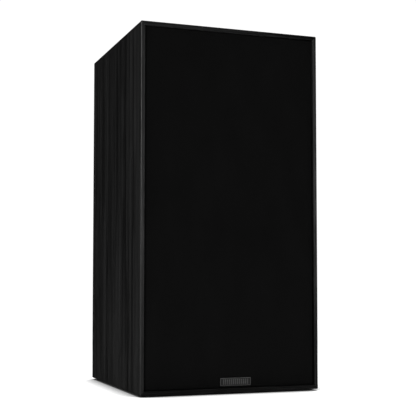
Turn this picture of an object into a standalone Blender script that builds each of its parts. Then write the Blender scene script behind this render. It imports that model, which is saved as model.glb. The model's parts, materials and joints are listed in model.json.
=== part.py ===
"""A two-way bookshelf loudspeaker: cabinet, push-in grille, two drivers, a rear port and screw terminals.

Units are metres. +Z is up, the grille faces -Y, and the origin is the middle of the footprint, where the
feet stand. A "depth" is measured backwards, towards +Y, from the plane that a function names.
"""

import math

import bmesh
import bpy
from mathutils import Matrix, Vector

# Driving dimensions
MM = 0.001
GAP = 0.3 * MM  # left between solids that touch in the real object
CABINET_WIDTH = 230 * MM
CABINET_HEIGHT = 443 * MM
CABINET_DEPTH = 242 * MM
WALL = 15 * MM
LIP = 5 * MM  # what is left of a wall beside the baffle, the grille and the rear panel
FOOT_HEIGHT = 2 * MM
FLANGE = 2.5 * MM  # the port's and the terminal cup's flanges lie on the rear panel
BAFFLE = 18 * MM
GRILLE_RECESS = 3.5 * MM  # from the lip's front edge back to the cloth
GRILLE_SIDE_GAP = 1 * MM
CLOTH = 0.8 * MM
GRILLE_BAR = 18 * MM
GRILLE_FRAME_DEPTH = 13.9 * MM
WOOFER_HEIGHT = 170 * MM
TWEETER_HEIGHT = 335 * MM
PORT_HEIGHT = 335 * MM
CUP_HEIGHT = 120 * MM
BRACE_HEIGHT = 268 * MM

# Planes and walls that follow from them
FRONT = -(CABINET_DEPTH + GAP + FLANGE) / 2
BACK = FRONT + CABINET_DEPTH
FLOOR = FOOT_HEIGHT
TOP = FLOOR + CABINET_HEIGHT
HALF_WIDTH = CABINET_WIDTH / 2
MIDDLE = (FLOOR + TOP) / 2
CLOTH_FRONT = FRONT + GRILLE_RECESS
FRAME_FRONT = CLOTH_FRONT + CLOTH + GAP
BAFFLE_FRONT = FRAME_FRONT + GRILLE_FRAME_DEPTH + GAP
BAFFLE_BACK = BAFFLE_FRONT + BAFFLE
OPENING_WIDTH = CABINET_WIDTH - 2 * LIP
OPENING_HEIGHT = CABINET_HEIGHT - 2 * LIP
INNER_WIDTH = CABINET_WIDTH - 2 * WALL
REAR_PANEL_FRONT = BACK - WALL
INNER_FRONT = BAFFLE_BACK + GAP
INNER_BACK = REAR_PANEL_FRONT - GAP

# Turned and drilled pieces
ROUND = 36  # sides of a large round piece
SMALL_ROUND = 20
FINE_ROUND = 14
SCREW_ROUND = 10
AXIS_MERGE = 1e-6
SHARP_ANGLE = math.radians(35)


def clear_scene():
    """Remove whatever the scene opened with."""
    for obj in list(bpy.data.objects):
        bpy.data.objects.remove(obj)


def look(name, color, roughness, metallic=0.0):
    """One plain material."""
    made = bpy.data.materials.new(name)
    made.use_nodes = True
    shader = made.node_tree.nodes["Principled BSDF"]
    shader.inputs["Base Color"].default_value = (*color, 1.0)
    shader.inputs["Roughness"].default_value = roughness
    shader.inputs["Metallic"].default_value = metallic
    return made


# Building blocks


def add_object(name, mesh, finish, location=(0, 0, 0)):
    """Put a mesh in the scene under its own name."""
    obj = bpy.data.objects.new(name, mesh)
    obj.location = location
    bpy.context.scene.collection.objects.link(obj)
    if finish and not mesh.materials:
        mesh.materials.append(finish)
    return obj


def mesh_from(bm, name, smooth=False):
    """Close off a bmesh: faces outwards, round pieces shaded smooth."""
    bmesh.ops.recalc_face_normals(bm, faces=bm.faces)
    mesh = bpy.data.meshes.new(name)
    bm.to_mesh(mesh)
    bm.free()
    if smooth:
        mesh.shade_smooth()
        mesh.set_sharp_from_angle(angle=SHARP_ANGLE)
    return mesh


def add_extrusion(bm, outline, y_front, y_back, back_outline=None):
    """A closed prism along Y from an (x, z) outline, tapered where the back outline differs."""
    front = [bm.verts.new((x, y_front, z)) for x, z in outline]
    back = [bm.verts.new((x, y_back, z)) for x, z in back_outline or outline]
    bm.faces.new(front)
    bm.faces.new(back)
    for i in range(len(front)):
        j = (i + 1) % len(front)
        bm.faces.new((front[i], front[j], back[j], back[i]))


def extruded(name, outline, y_front, y_back, finish, back_outline=None):
    bm = bmesh.new()
    add_extrusion(bm, outline, y_front, y_back, back_outline)
    return add_object(name, mesh_from(bm, name), finish)


def rectangle(width, height, centre_x=0.0, centre_z=0.0):
    return [
        (centre_x + sx * width / 2, centre_z + sz * height / 2)
        for sx, sz in ((-1, -1), (1, -1), (1, 1), (-1, 1))
    ]


def rounded_rectangle(width, height, radius, centre_x=0.0, centre_z=0.0, steps=4):
    """A rectangle whose corners are quarter circles."""
    points = []
    for quarter, (sx, sz) in enumerate(((1, 1), (-1, 1), (-1, -1), (1, -1))):
        for step in range(steps + 1):
            angle = math.pi / 2 * (quarter + step / steps)
            points.append(
                (
                    centre_x + sx * (width / 2 - radius) + radius * math.cos(angle),
                    centre_z + sz * (height / 2 - radius) + radius * math.sin(angle),
                )
            )
    return points


def add_turning(bm, profile, centre, segments, backwards=1):
    """Spin a closed (radius, depth) profile about the line along Y through a centre."""
    turned_bm = bmesh.new()
    points = [turned_bm.verts.new((radius, backwards * depth, 0)) for radius, depth in profile]
    for start, end in zip(points, points[1:] + points[:1]):
        if start.co.x > 0 or end.co.x > 0:
            turned_bm.edges.new((start, end))
    bmesh.ops.spin(
        turned_bm,
        geom=turned_bm.verts[:] + turned_bm.edges[:],
        cent=(0, 0, 0),
        axis=(0, 1, 0),
        angle=2 * math.pi,
        steps=segments,
        use_merge=True,
    )
    bmesh.ops.remove_doubles(turned_bm, verts=turned_bm.verts, dist=AXIS_MERGE)
    bmesh.ops.recalc_face_normals(turned_bm, faces=turned_bm.faces)
    bmesh.ops.translate(turned_bm, verts=turned_bm.verts, vec=centre)
    part = bpy.data.meshes.new("turning")
    turned_bm.to_mesh(part)
    turned_bm.free()
    bm.from_mesh(part)
    bpy.data.meshes.remove(part)


def turned(name, profile, centre, finish, segments=ROUND, backwards=1):
    bm = bmesh.new()
    add_turning(bm, profile, (0, 0, 0), segments, backwards)
    return add_object(name, mesh_from(bm, name, smooth=True), finish, centre)


def hidden(obj):
    """Keep a cutter out of the model."""
    obj.hide_render = True
    obj.display_type = "WIRE"
    return obj


def cut(target, *cutters):
    for cutter in cutters:
        boolean = target.modifiers.new(cutter.name, "BOOLEAN")
        boolean.operation = "DIFFERENCE"
        boolean.solver = "EXACT"
        boolean.object = cutter


def join(target, *others):
    for other in others:
        boolean = target.modifiers.new(other.name, "BOOLEAN")
        boolean.operation = "UNION"
        boolean.solver = "EXACT"
        boolean.object = hidden(other)


def drill(name, profile, centres, segments=SCREW_ROUND, backwards=1):
    """One hidden cutter with the same turned hole at each centre."""
    bm = bmesh.new()
    for centre in centres:
        add_turning(bm, profile, centre, segments, backwards)
    return hidden(add_object(name, mesh_from(bm, name), None))


def around(centre_x, centre_z, radius, count, first_angle, y):
    """Points evenly spaced on a circle in an XZ plane."""
    angles = [first_angle + 2 * math.pi * i / count for i in range(count)]
    return [
        (centre_x + radius * math.cos(angle), y, centre_z + radius * math.sin(angle))
        for angle in angles
    ]


def mm_profile(*points):
    return [(radius * MM, depth * MM) for radius, depth in points]


# Screws: countersunk, all the same

SCREW = mm_profile((0, 0.2), (3.3, 0.2), (3.3, 0.5), (1.6, 2.4), (1.6, 13.5), (0, 15))
SCREW_HOLE = mm_profile((0, -1), (3.7, -1), (3.7, 0.6), (2, 2.6), (2, 16), (0, 16))


def add_screws(names, centres, finish, backwards=1):
    bm = bmesh.new()
    add_turning(bm, SCREW, (0, 0, 0), SCREW_ROUND, backwards)
    mesh = mesh_from(bm, "countersunk_screw", smooth=True)
    for name, centre in zip(names, centres):
        add_object(name, mesh, finish, centre)


# Cabinet


def wall_outline(side):
    """A mitred wall's (x, z) outline, for the wall on the left, right, bottom or top."""
    mitre_gap = GAP / math.sqrt(2)
    outer_x, inner_x = HALF_WIDTH, HALF_WIDTH - WALL
    outer_z, inner_z = CABINET_HEIGHT / 2, CABINET_HEIGHT / 2 - WALL
    if side in ("left", "right"):
        sign = -1 if side == "left" else 1
        corners = [
            (sign * outer_x, -outer_z + mitre_gap),
            (sign * outer_x, outer_z - mitre_gap),
            (sign * inner_x, inner_z - mitre_gap),
            (sign * inner_x, -inner_z + mitre_gap),
        ]
    else:
        sign = -1 if side == "bottom" else 1
        corners = [
            (-outer_x + mitre_gap, sign * outer_z),
            (outer_x - mitre_gap, sign * outer_z),
            (inner_x - mitre_gap, sign * inner_z),
            (-inner_x + mitre_gap, sign * inner_z),
        ]
    return [(x, MIDDLE + z) for x, z in corners]


def build_walls(finish):
    """Four mitred walls, rebated in front for baffle and grille and behind for the rear panel."""
    opening = rectangle(OPENING_WIDTH, OPENING_HEIGHT, centre_z=MIDDLE)
    past = 10 * MM
    front_rebate = hidden(extruded("front_rebate", opening, FRONT - past, BAFFLE_BACK + GAP, None))
    rear_rebate = hidden(extruded("rear_rebate", opening, REAR_PANEL_FRONT - GAP, BACK + past, None))
    names = {
        "left": "left_side_panel",
        "right": "right_side_panel",
        "bottom": "bottom_panel",
        "top": "top_panel",
    }
    for side, name in names.items():
        wall = extruded(name, wall_outline(side), FRONT, BACK, finish)
        cut(wall, front_rebate, rear_rebate)


def build_baffle(finish):
    outline = rectangle(OPENING_WIDTH - 2 * GAP, OPENING_HEIGHT - 2 * GAP, centre_z=MIDDLE)
    return extruded("front_baffle", outline, BAFFLE_FRONT, BAFFLE_BACK, finish)


def build_rear_panel(finish):
    outline = rectangle(OPENING_WIDTH - 2 * GAP, OPENING_HEIGHT - 2 * GAP, centre_z=MIDDLE)
    return extruded("rear_panel", outline, REAR_PANEL_FRONT, BACK, finish)


BRACE_THICKNESS = 12 * MM
BRACE_RIB = 18 * MM


def build_brace(finish):
    """A level shelf between the drivers that ties the sides, with two windows for the air and the wires."""
    width = INNER_WIDTH - 2 * GAP
    y_front, y_back = INNER_FRONT + GAP, INNER_BACK - GAP
    brace = extruded(
        "window_brace",
        rectangle(width, BRACE_THICKNESS, centre_z=BRACE_HEIGHT),
        y_front,
        y_back,
        finish,
    )
    window_width = (width - 3 * BRACE_RIB) / 2
    bm = bmesh.new()
    for side in (-1, 1):
        centre_x = side * (window_width + BRACE_RIB) / 2
        outline = rectangle(window_width, 2 * BRACE_THICKNESS, centre_x, BRACE_HEIGHT)
        add_extrusion(bm, outline, y_front + BRACE_RIB, y_back - BRACE_RIB)
    windows = hidden(add_object("brace_windows", mesh_from(bm, "brace_windows"), None))
    cut(brace, windows)


FOOT_RADIUS = 7 * MM
FOOT_INSET = 20 * MM


def build_feet(finish):
    """Four thin rubber pads stuck under the bottom panel."""
    for side, x in (("left", -HALF_WIDTH + FOOT_INSET), ("right", HALF_WIDTH - FOOT_INSET)):
        for end, y in (("front", FRONT + FOOT_INSET), ("rear", BACK - FOOT_INSET)):
            bm = bmesh.new()
            bmesh.ops.create_cone(
                bm,
                cap_ends=True,
                segments=FINE_ROUND,
                radius1=FOOT_RADIUS - 0.6 * MM,
                radius2=FOOT_RADIUS,
                depth=FOOT_HEIGHT - GAP,
                matrix=Matrix.Translation((0, 0, (FOOT_HEIGHT - GAP) / 2)),
            )
            name = f"foot_{end}_{side}"
            add_object(name, mesh_from(bm, name, smooth=True), finish, (x, y, 0))


# Grille

GRILLE_WIDTH = OPENING_WIDTH - 2 * GRILLE_SIDE_GAP
GRILLE_HEIGHT = OPENING_HEIGHT - 2 * GRILLE_SIDE_GAP
FRAME_WIDTH = GRILLE_WIDTH - 2 * (CLOTH + GAP)
FRAME_HEIGHT = GRILLE_HEIGHT - 2 * (CLOTH + GAP)
GRILLE_CORNER = 3 * MM
CROSS_BAR = 12 * MM
CROSS_BAR_SETBACK = 3 * MM  # so that the bar doesn't touch the cloth
CROSS_BAR_HEIGHT = 271 * MM
PEG_RADIUS = 3 * MM
PEG_LENGTH = 10 * MM
PEG_X = (FRAME_WIDTH - GRILLE_BAR) / 2
PEG_REACH = FRAME_HEIGHT / 2 - 30 * MM
PEG_HEIGHTS = {"lower": MIDDLE - PEG_REACH, "upper": MIDDLE + PEG_REACH}
BADGE_WIDTH = 39.5 * MM
BADGE_HEIGHT = 9.5 * MM
BADGE_THICKNESS = 1.2 * MM
BADGE_X = 5.5 * MM
BADGE_Z = 14.5 * MM


def peg_centres(y):
    return [(side * PEG_X, y, z) for side in (-1, 1) for z in PEG_HEIGHTS.values()]


def build_grille_frame(finish):
    """A moulded frame with a cross bar and four pegs on its back."""
    frame_back = FRAME_FRONT + GRILLE_FRAME_DEPTH
    outline = rounded_rectangle(FRAME_WIDTH, FRAME_HEIGHT, GRILLE_CORNER, centre_z=MIDDLE)
    frame = extruded("grille_frame", outline, FRAME_FRONT, frame_back, finish)
    past = 5 * MM
    window_width = FRAME_WIDTH - 2 * GRILLE_BAR
    low = MIDDLE - FRAME_HEIGHT / 2 + GRILLE_BAR
    high = MIDDLE + FRAME_HEIGHT / 2 - GRILLE_BAR
    bar_low, bar_high = CROSS_BAR_HEIGHT - CROSS_BAR / 2, CROSS_BAR_HEIGHT + CROSS_BAR / 2
    bm = bmesh.new()
    for bottom, top in ((low, bar_low), (bar_high, high)):
        window = rounded_rectangle(
            window_width, top - bottom, GRILLE_CORNER, centre_z=(bottom + top) / 2, steps=2
        )
        add_extrusion(bm, window, FRAME_FRONT - past, frame_back + past)
    windows = hidden(add_object("grille_windows", mesh_from(bm, "grille_windows"), None))
    setback = rectangle(window_width, 2 * CROSS_BAR, centre_z=CROSS_BAR_HEIGHT)
    bar_relief = hidden(
        extruded("cross_bar_relief", setback, FRAME_FRONT - past, FRAME_FRONT + CROSS_BAR_SETBACK, None)
    )
    cut(frame, windows, bar_relief)
    overlap = 2 * MM
    peg = [
        (0, -overlap),
        (PEG_RADIUS, -overlap),
        (PEG_RADIUS, PEG_LENGTH - 1 * MM),
        (PEG_RADIUS - 1 * MM, PEG_LENGTH),
        (0, PEG_LENGTH),
    ]
    bm = bmesh.new()
    for centre in peg_centres(frame_back):
        add_turning(bm, peg, centre, FINE_ROUND)
    join(frame, add_object("grille_pegs", mesh_from(bm, "grille_pegs"), None))


def build_grille_cloth(finish):
    """The cloth as a shallow tray drawn over the frame's front and sides."""
    outer = rounded_rectangle(GRILLE_WIDTH, GRILLE_HEIGHT, GRILLE_CORNER + CLOTH, centre_z=MIDDLE)
    inner = rounded_rectangle(
        GRILLE_WIDTH - 2 * CLOTH, GRILLE_HEIGHT - 2 * CLOTH, GRILLE_CORNER, centre_z=MIDDLE
    )
    side_back = BAFFLE_FRONT - 1 * MM
    cloth = extruded("grille_cloth", outer, CLOTH_FRONT, side_back, finish)
    past = 5 * MM
    cut(cloth, hidden(extruded("cloth_inside", inner, CLOTH_FRONT + CLOTH, side_back + past, None)))


def build_badge(finish):
    outline = rounded_rectangle(BADGE_WIDTH, BADGE_HEIGHT, 0.6 * MM, BADGE_X, BADGE_Z, steps=2)
    y_back = CLOTH_FRONT - GAP
    extruded("badge_plate", outline, y_back - BADGE_THICKNESS, y_back, finish)


def build_grille_sockets(baffle, finish):
    """Four rubber cups let into the baffle, which grip the pegs."""
    socket = mm_profile(
        (3.3, 0.3), (7, 0.3), (7, 1.4), (5.6, 1.4), (5.6, 13), (0, 13), (0, 11.5), (3.3, 11.5)
    )
    hole = mm_profile((0, -1), (7.3, -1), (7.3, 1.7), (5.9, 1.7), (5.9, 13.4), (0, 13.4))
    centres = peg_centres(BAFFLE_FRONT)
    names = [f"grille_socket_{height}_{side}" for side in ("left", "right") for height in PEG_HEIGHTS]
    for name, centre in zip(names, centres):
        turned(name, socket, centre, finish, FINE_ROUND)
    cut(baffle, drill("socket_holes", hole, centres, FINE_ROUND))


# Woofer: radii and depths in millimetres, depth from the baffle's front face

WOOFER_CENTRE = Vector((0, BAFFLE_FRONT, WOOFER_HEIGHT))
WOOFER_SPOKES = 6
WOOFER_SCREW_CIRCLE = 83 * MM
BASKET = mm_profile(
    (78, 0), (89, 0), (89, 4.7), (74.4, 4.7), (73.5, 14), (57.5, 49), (47, 59), (47, 65), (20, 65),
    (20, 62.5), (44.5, 62.5), (44.5, 57.7), (53.8, 48.5), (47.5, 48.5), (47.5, 46), (56, 46),
    (71, 13), (71.5, 1.5), (78, 1.5),
)
SURROUND_ROLL = 67.5
SURROUND_RADIUS = 6.0
SURROUND_THICKNESS = 0.8
CONE = mm_profile(
    (16.7, 38), (22, 34.2), (34, 24.5), (48, 14), (60.6, 4.6), (61, 5.2), (48.6, 15), (34.6, 25.6),
    (22.6, 35.4), (16.7, 39.6),
)
WOOFER_COIL = mm_profile(
    (15.9, 36.5), (16.3, 36.5), (16.3, 60.3), (16.8, 60.3), (16.8, 76.3), (16.3, 76.3), (16.3, 77),
    (15.9, 77),
)
WOOFER_TOP_PLATE = mm_profile((17.5, 65.3), (37, 65.3), (37, 71.3), (17.5, 71.3))
WOOFER_MAGNET = mm_profile((22, 71.6), (40, 71.6), (40, 87.6), (22, 87.6))
WOOFER_YOKE = mm_profile(
    (5, 64.5), (15.2, 64.5), (15.2, 87.9), (37, 87.9), (37, 93.9), (5, 93.9)
)


def arc_points(centre_r, centre_depth, radius, first, last, steps):
    """Points on a circle in the profile's plane; angle 0 points outwards, 90 degrees forwards."""
    angles = [first + (last - first) * i / steps for i in range(steps + 1)]
    return [
        (centre_r + radius * math.cos(a), centre_depth - radius * math.sin(a)) for a in angles
    ]


def surround_profile():
    """A half roll whose outer lip lies in the basket's step and whose inner lip lies on the cone."""
    half = SURROUND_THICKNESS / 2
    level = 0.8  # depth of the roll's own centre
    outer = arc_points(SURROUND_ROLL, level, SURROUND_RADIUS + half, math.pi, 0, 5)
    inner = arc_points(SURROUND_ROLL, level, SURROUND_RADIUS - half, 0, math.pi, 5)
    outer_lip = [(77.4, level - half), (77.4, level + half)]
    inner_lip = [(58.2, 5.9), (57.7, 5.3)]
    return mm_profile(*outer, *outer_lip, *inner, (60.5, 3.4), *inner_lip, (60.3, 2.2))


def spider_profile():
    """A corrugated disc from the coil former to the basket's ledge."""
    inner, outer, waves, height, thickness, level = 16.7, 51.0, 3, 1.1, 0.5, 44.6
    steps = 4 * waves
    points = []
    for i in range(steps + 1):
        radius = inner + (outer - inner) * i / steps
        fade = min(1.0, 4 * (steps - i) / steps)
        points.append((radius, level - fade * height * math.sin(2 * math.pi * waves * i / steps)))
    back = [(radius, depth + thickness) for radius, depth in reversed(points)]
    return mm_profile(*points, *back)


def dust_cap_profile():
    """A shallow dome whose rim lies on the cone."""
    rim, height, thickness, rim_depth = 21.0, 8.0, 0.6, 34.3
    sphere = (rim**2 + height**2) / (2 * height)
    sphere_depth = rim_depth + sphere - height
    half_angle = math.asin(rim / sphere)
    steps = 5
    front = []
    back = []
    for i in range(steps + 1):
        angle = half_angle * i / steps
        for points, radius in ((front, sphere), (back, sphere - thickness)):
            points.append((radius * math.sin(angle), sphere_depth - radius * math.cos(angle)))
    return mm_profile(*front, *reversed(back))


def cut_basket_windows(basket):
    """Open the basket between its spokes."""
    half_angle = math.radians(20)
    near, far = 50 * MM, 82 * MM
    bm = bmesh.new()
    for spoke in range(WOOFER_SPOKES):
        middle = 2 * math.pi * spoke / WOOFER_SPOKES
        outline = [
            (r * math.cos(middle + side * half_angle), r * math.sin(middle + side * half_angle))
            for r, side in ((near, -1), (far, -1), (far, 1), (near, 1))
        ]
        outline = [(x, WOOFER_HEIGHT + z) for x, z in outline]
        add_extrusion(bm, outline, BAFFLE_FRONT + 20 * MM, BAFFLE_FRONT + 43 * MM)
    cut(basket, hidden(add_object("basket_windows", mesh_from(bm, "basket_windows"), None)))


def build_woofer(baffle, finishes):
    centre = WOOFER_CENTRE
    basket = turned("woofer_basket", BASKET, centre, finishes["basket"])
    cut_basket_windows(basket)
    turned("woofer_surround", surround_profile(), centre, finishes["rubber"])
    turned("woofer_cone", CONE, centre, finishes["cone"])
    turned("woofer_dust_cap", dust_cap_profile(), centre, finishes["cone"], SMALL_ROUND)
    turned("woofer_spider", spider_profile(), centre, finishes["spider"], SMALL_ROUND)
    turned("woofer_voice_coil", WOOFER_COIL, centre, finishes["copper"], SMALL_ROUND)
    turned("woofer_top_plate", WOOFER_TOP_PLATE, centre, finishes["steel"], SMALL_ROUND)
    turned("woofer_magnet", WOOFER_MAGNET, centre, finishes["ferrite"], SMALL_ROUND)
    turned("woofer_yoke", WOOFER_YOKE, centre, finishes["steel"], SMALL_ROUND)
    cutout = mm_profile((0, -1), (89.6, -1), (89.6, 5), (75, 5), (75, 20), (0, 20))
    cut(baffle, drill("woofer_cutout", cutout, [centre], ROUND))
    screws = around(0, WOOFER_HEIGHT, WOOFER_SCREW_CIRCLE, 4, math.pi / 4, BAFFLE_FRONT)
    holes = drill("woofer_screw_holes", SCREW_HOLE, screws)
    cut(basket, holes)
    cut(baffle, holes)
    add_screws([f"woofer_screw_{i + 1}" for i in range(4)], screws, finishes["screw"])


# Tweeter: radii and depths in millimetres, depth from the baffle's front face

TWEETER_CENTRE = Vector((0, BAFFLE_FRONT, TWEETER_HEIGHT))
TWEETER_SCREW_CIRCLE = 45 * MM
FACEPLATE = mm_profile(
    (16, 4.8), (20, 3), (27, 1.2), (36, 0.2), (52, 0), (52, 4), (37, 4), (37, 6.2), (19, 6.2), (16, 5.6)
)
DOME = mm_profile(
    (0, 2.0), (5, 2.9), (9.5, 5.2), (12.4, 8), (13.6, 7.1), (14.8, 7.1), (15.8, 8), (18, 8),
    (18, 8.3), (15.6, 8.3), (14.6, 7.5), (13.8, 7.5), (12.6, 8.5), (11.9, 8.4), (9.2, 5.6), (4.8, 3.3),
    (0, 2.4),
)
TWEETER_COIL = mm_profile((12.6, 8.9), (13.3, 8.9), (13.3, 13.4), (12.6, 13.4))
TWEETER_TOP_PLATE = mm_profile((13.8, 9.1), (36, 9.1), (36, 12.1), (13.8, 12.1))
TWEETER_MAGNET = mm_profile((18, 12.4), (32, 12.4), (32, 21.4), (18, 21.4))
TWEETER_YOKE = mm_profile((4, 9.3), (12.1, 9.3), (12.1, 21.7), (30, 21.7), (30, 25.7), (4, 25.7))
TWEETER_CHAMBER = mm_profile((0, 46), (26, 46), (28, 44), (28, 26), (26, 26), (26, 43.5), (25, 44), (0, 44))


def build_tweeter(baffle, finishes):
    centre = TWEETER_CENTRE
    faceplate = turned("tweeter_faceplate", FACEPLATE, centre, finishes["faceplate"])
    turned("tweeter_dome", DOME, centre, finishes["silk"], SMALL_ROUND)
    turned("tweeter_voice_coil", TWEETER_COIL, centre, finishes["copper"], SMALL_ROUND)
    turned("tweeter_top_plate", TWEETER_TOP_PLATE, centre, finishes["steel"], SMALL_ROUND)
    turned("tweeter_magnet", TWEETER_MAGNET, centre, finishes["ferrite"], SMALL_ROUND)
    turned("tweeter_yoke", TWEETER_YOKE, centre, finishes["steel"], SMALL_ROUND)
    turned("tweeter_rear_chamber", TWEETER_CHAMBER, centre, finishes["basket"], SMALL_ROUND)
    cutout = mm_profile((0, -1), (52.5, -1), (52.5, 4.3), (38, 4.3), (38, 20), (0, 20))
    cut(baffle, drill("tweeter_cutout", cutout, [centre], ROUND))
    screws = around(0, TWEETER_HEIGHT, TWEETER_SCREW_CIRCLE, 3, math.pi / 2, BAFFLE_FRONT)
    holes = drill("tweeter_screw_holes", SCREW_HOLE, screws)
    cut(faceplate, holes)
    cut(baffle, holes)
    add_screws([f"tweeter_screw_{i + 1}" for i in range(3)], screws, finishes["screw"])


# Port: radii and depths in millimetres, depth forwards from the flange's rear face

FLANGE_BACK = BACK + GAP + FLANGE
PORT_BORE = 26.0
PORT_LENGTH = 122.0
PORT_FLARE = 11.0
PORT_WALL = 2.6
PORT_FLANGE = 45.0
PORT_HOLE = 37.5


def port_profile():
    """A tube with a round flare and a flange behind, and a small flare at its inner end."""
    quarter = [math.pi / 2 * step / 5 for step in range(6)]
    flare_centre = PORT_BORE + PORT_FLARE
    outer_flare = PORT_FLARE - PORT_WALL
    mouth = [
        (flare_centre - PORT_FLARE * math.sin(a), PORT_FLARE * (1 - math.cos(a))) for a in quarter
    ]
    back = [
        (flare_centre - outer_flare * math.sin(a), PORT_FLARE - outer_flare * math.cos(a))
        for a in reversed(quarter)
    ]
    inner_end = [
        (PORT_BORE, PORT_LENGTH - 6),
        (PORT_BORE + 1.5, PORT_LENGTH - 2.5),
        (PORT_BORE + 5, PORT_LENGTH),
        (PORT_BORE + 7, PORT_LENGTH - 1),
        (PORT_BORE + PORT_WALL, PORT_LENGTH - 8),
    ]
    rim = FLANGE / MM
    flange = [(PORT_FLANGE, rim), (PORT_FLANGE + 1, rim / 2), (PORT_FLANGE, 0)]
    return mm_profile(*mouth, *inner_end, *back, *flange)


def build_port(rear_panel, finish):
    centre = (0, FLANGE_BACK, PORT_HEIGHT)
    turned("port_tube", port_profile(), centre, finish, ROUND, backwards=-1)
    hole = mm_profile((0, -2), (PORT_HOLE, -2), (PORT_HOLE, 22), (0, 22))
    cut(rear_panel, drill("port_hole", hole, [centre], ROUND, backwards=-1))


# Terminals

CUP_SIZE = 92 * MM
CUP_BODY = 72 * MM
CUP_CORNER = 9 * MM
CUP_MOUTH = 66 * MM
CUP_FLOOR_SIZE = 58 * MM
CUP_DEPTH = 30 * MM  # flange's rear face to the floor of the well
CUP_WALL = 3 * MM
CUP_SCREW_INSET = 6.5 * MM
CUP_FLOOR = FLANGE_BACK - CUP_DEPTH
POST_X = {"negative": -9.525 * MM, "positive": 9.525 * MM}  # the usual 3/4 in between two plugs
BOARD_BACK = CUP_FLOOR - CUP_WALL - 5 * MM
BOARD_THICKNESS = 1.6 * MM
BOARD_SIZE = 68 * MM


def build_terminal_cup(rear_panel, finishes):
    """A square flange with a tapered well that keeps the terminals inside the cabinet's outline."""
    flange = rounded_rectangle(CUP_SIZE, CUP_SIZE, CUP_CORNER, centre_z=CUP_HEIGHT)
    body = rounded_rectangle(CUP_BODY, CUP_BODY, CUP_CORNER - 3 * MM, centre_z=CUP_HEIGHT)
    mouth = rounded_rectangle(CUP_MOUTH, CUP_MOUTH, 6 * MM, centre_z=CUP_HEIGHT)
    floor = rounded_rectangle(CUP_FLOOR_SIZE, CUP_FLOOR_SIZE, 4 * MM, centre_z=CUP_HEIGHT)
    cup = extruded("terminal_cup", flange, BACK + GAP, FLANGE_BACK, finishes["cup"])
    overlap = 1 * MM
    join(cup, extruded("cup_body", body, CUP_FLOOR - CUP_WALL, BACK + GAP + overlap, None))
    past = 1 * MM
    cut(cup, hidden(extruded("cup_well", floor, CUP_FLOOR, FLANGE_BACK + past, None, mouth)))
    hole = rounded_rectangle(
        CUP_BODY + 2 * GAP, CUP_BODY + 2 * GAP, CUP_CORNER - 3 * MM, centre_z=CUP_HEIGHT
    )
    cut(rear_panel, hidden(extruded("cup_hole", hole, REAR_PANEL_FRONT - past, BACK + past, None)))
    reach = CUP_SIZE / 2 - CUP_SCREW_INSET
    screws = [(sx * reach, FLANGE_BACK, CUP_HEIGHT + sz * reach) for sz in (1, -1) for sx in (-1, 1)]
    holes = drill("cup_screw_holes", SCREW_HOLE, screws, backwards=-1)
    cut(cup, holes)
    cut(rear_panel, holes)
    add_screws([f"cup_screw_{i + 1}" for i in range(4)], screws, finishes["screw"], backwards=-1)
    posts = [(x, CUP_FLOOR, CUP_HEIGHT) for x in POST_X.values()]
    shank_hole = mm_profile((0, -2), (2.4, -2), (2.4, 12), (0, 12))
    cut(cup, drill("post_holes", shank_hole, posts, FINE_ROUND, backwards=-1))


# Radii and depths in millimetres, depth backwards from the floor of the well
POST_STUD = mm_profile(
    (0, -13), (2, -13), (2, 0.3), (6.2, 0.3), (6.2, 3.2), (3, 3.2), (3, 22), (2.05, 22), (2.05, 10), (0, 10)
)
POST_COLLAR = mm_profile((3.4, 3.5), (6, 3.5), (6, 5.5), (4.8, 5.5), (4.8, 12), (3.4, 12))
CAP_BORE = mm_profile((0, 4), (5.1, 4), (5.1, 12.3), (3.4, 12.3), (3.4, 24), (0, 24))
CAP_START = 5.8 * MM
CAP_END = 22.5 * MM
CAP_FLUTES = 12
WIRE_HOLE_DEPTH = 6 * MM
WIRE_HOLE_RADIUS = 1.4 * MM


def build_post_cap(name, centre, finish):
    """A fluted plastic cap: its open end covers the collar and its closed end has the plug's hole."""
    outer_radius, flute_depth, end_share = 6.6 * MM, 0.5 * MM, 0.88
    outline = []
    for i in range(2 * CAP_FLUTES):
        angle = math.pi * i / CAP_FLUTES
        radius = outer_radius - flute_depth * (i % 2)
        outline.append((radius * math.cos(angle), radius * math.sin(angle)))
    shoulder = 1 * MM
    end = [(x * end_share, z * end_share) for x, z in outline]
    bm = bmesh.new()
    levels = [
        [bm.verts.new((x, y, z)) for x, z in points]
        for points, y in ((outline, CAP_START), (outline, CAP_END - shoulder), (end, CAP_END))
    ]
    bm.faces.new(levels[0])
    bm.faces.new(levels[-1])
    for near, far in zip(levels, levels[1:]):
        for i in range(len(near)):
            j = (i + 1) % len(near)
            bm.faces.new((near[i], near[j], far[j], far[i]))
    cap = add_object(name, mesh_from(bm, name), finish, centre)
    cut(cap, drill(f"{name}_bore", CAP_BORE, [centre], FINE_ROUND))


def build_terminals(finishes):
    for pole, x in POST_X.items():
        centre = (x, CUP_FLOOR, CUP_HEIGHT)
        stud = turned(f"{pole}_post_stud", POST_STUD, centre, finishes["brass"], FINE_ROUND)
        wire_hole = bmesh.new()
        bmesh.ops.create_cone(
            wire_hole,
            cap_ends=True,
            segments=SCREW_ROUND,
            radius1=WIRE_HOLE_RADIUS,
            radius2=WIRE_HOLE_RADIUS,
            depth=20 * MM,
            matrix=Matrix.Translation((x, CUP_FLOOR + WIRE_HOLE_DEPTH, CUP_HEIGHT)),
        )
        cutter = f"{pole}_wire_hole"
        cut(stud, hidden(add_object(cutter, mesh_from(wire_hole, cutter), None)))
        turned(f"{pole}_post_collar", POST_COLLAR, centre, finishes["brass"], FINE_ROUND)
        build_post_cap(f"{pole}_post_cap", centre, finishes[f"{pole}_cap"])


# Crossover and what else is inside

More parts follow.
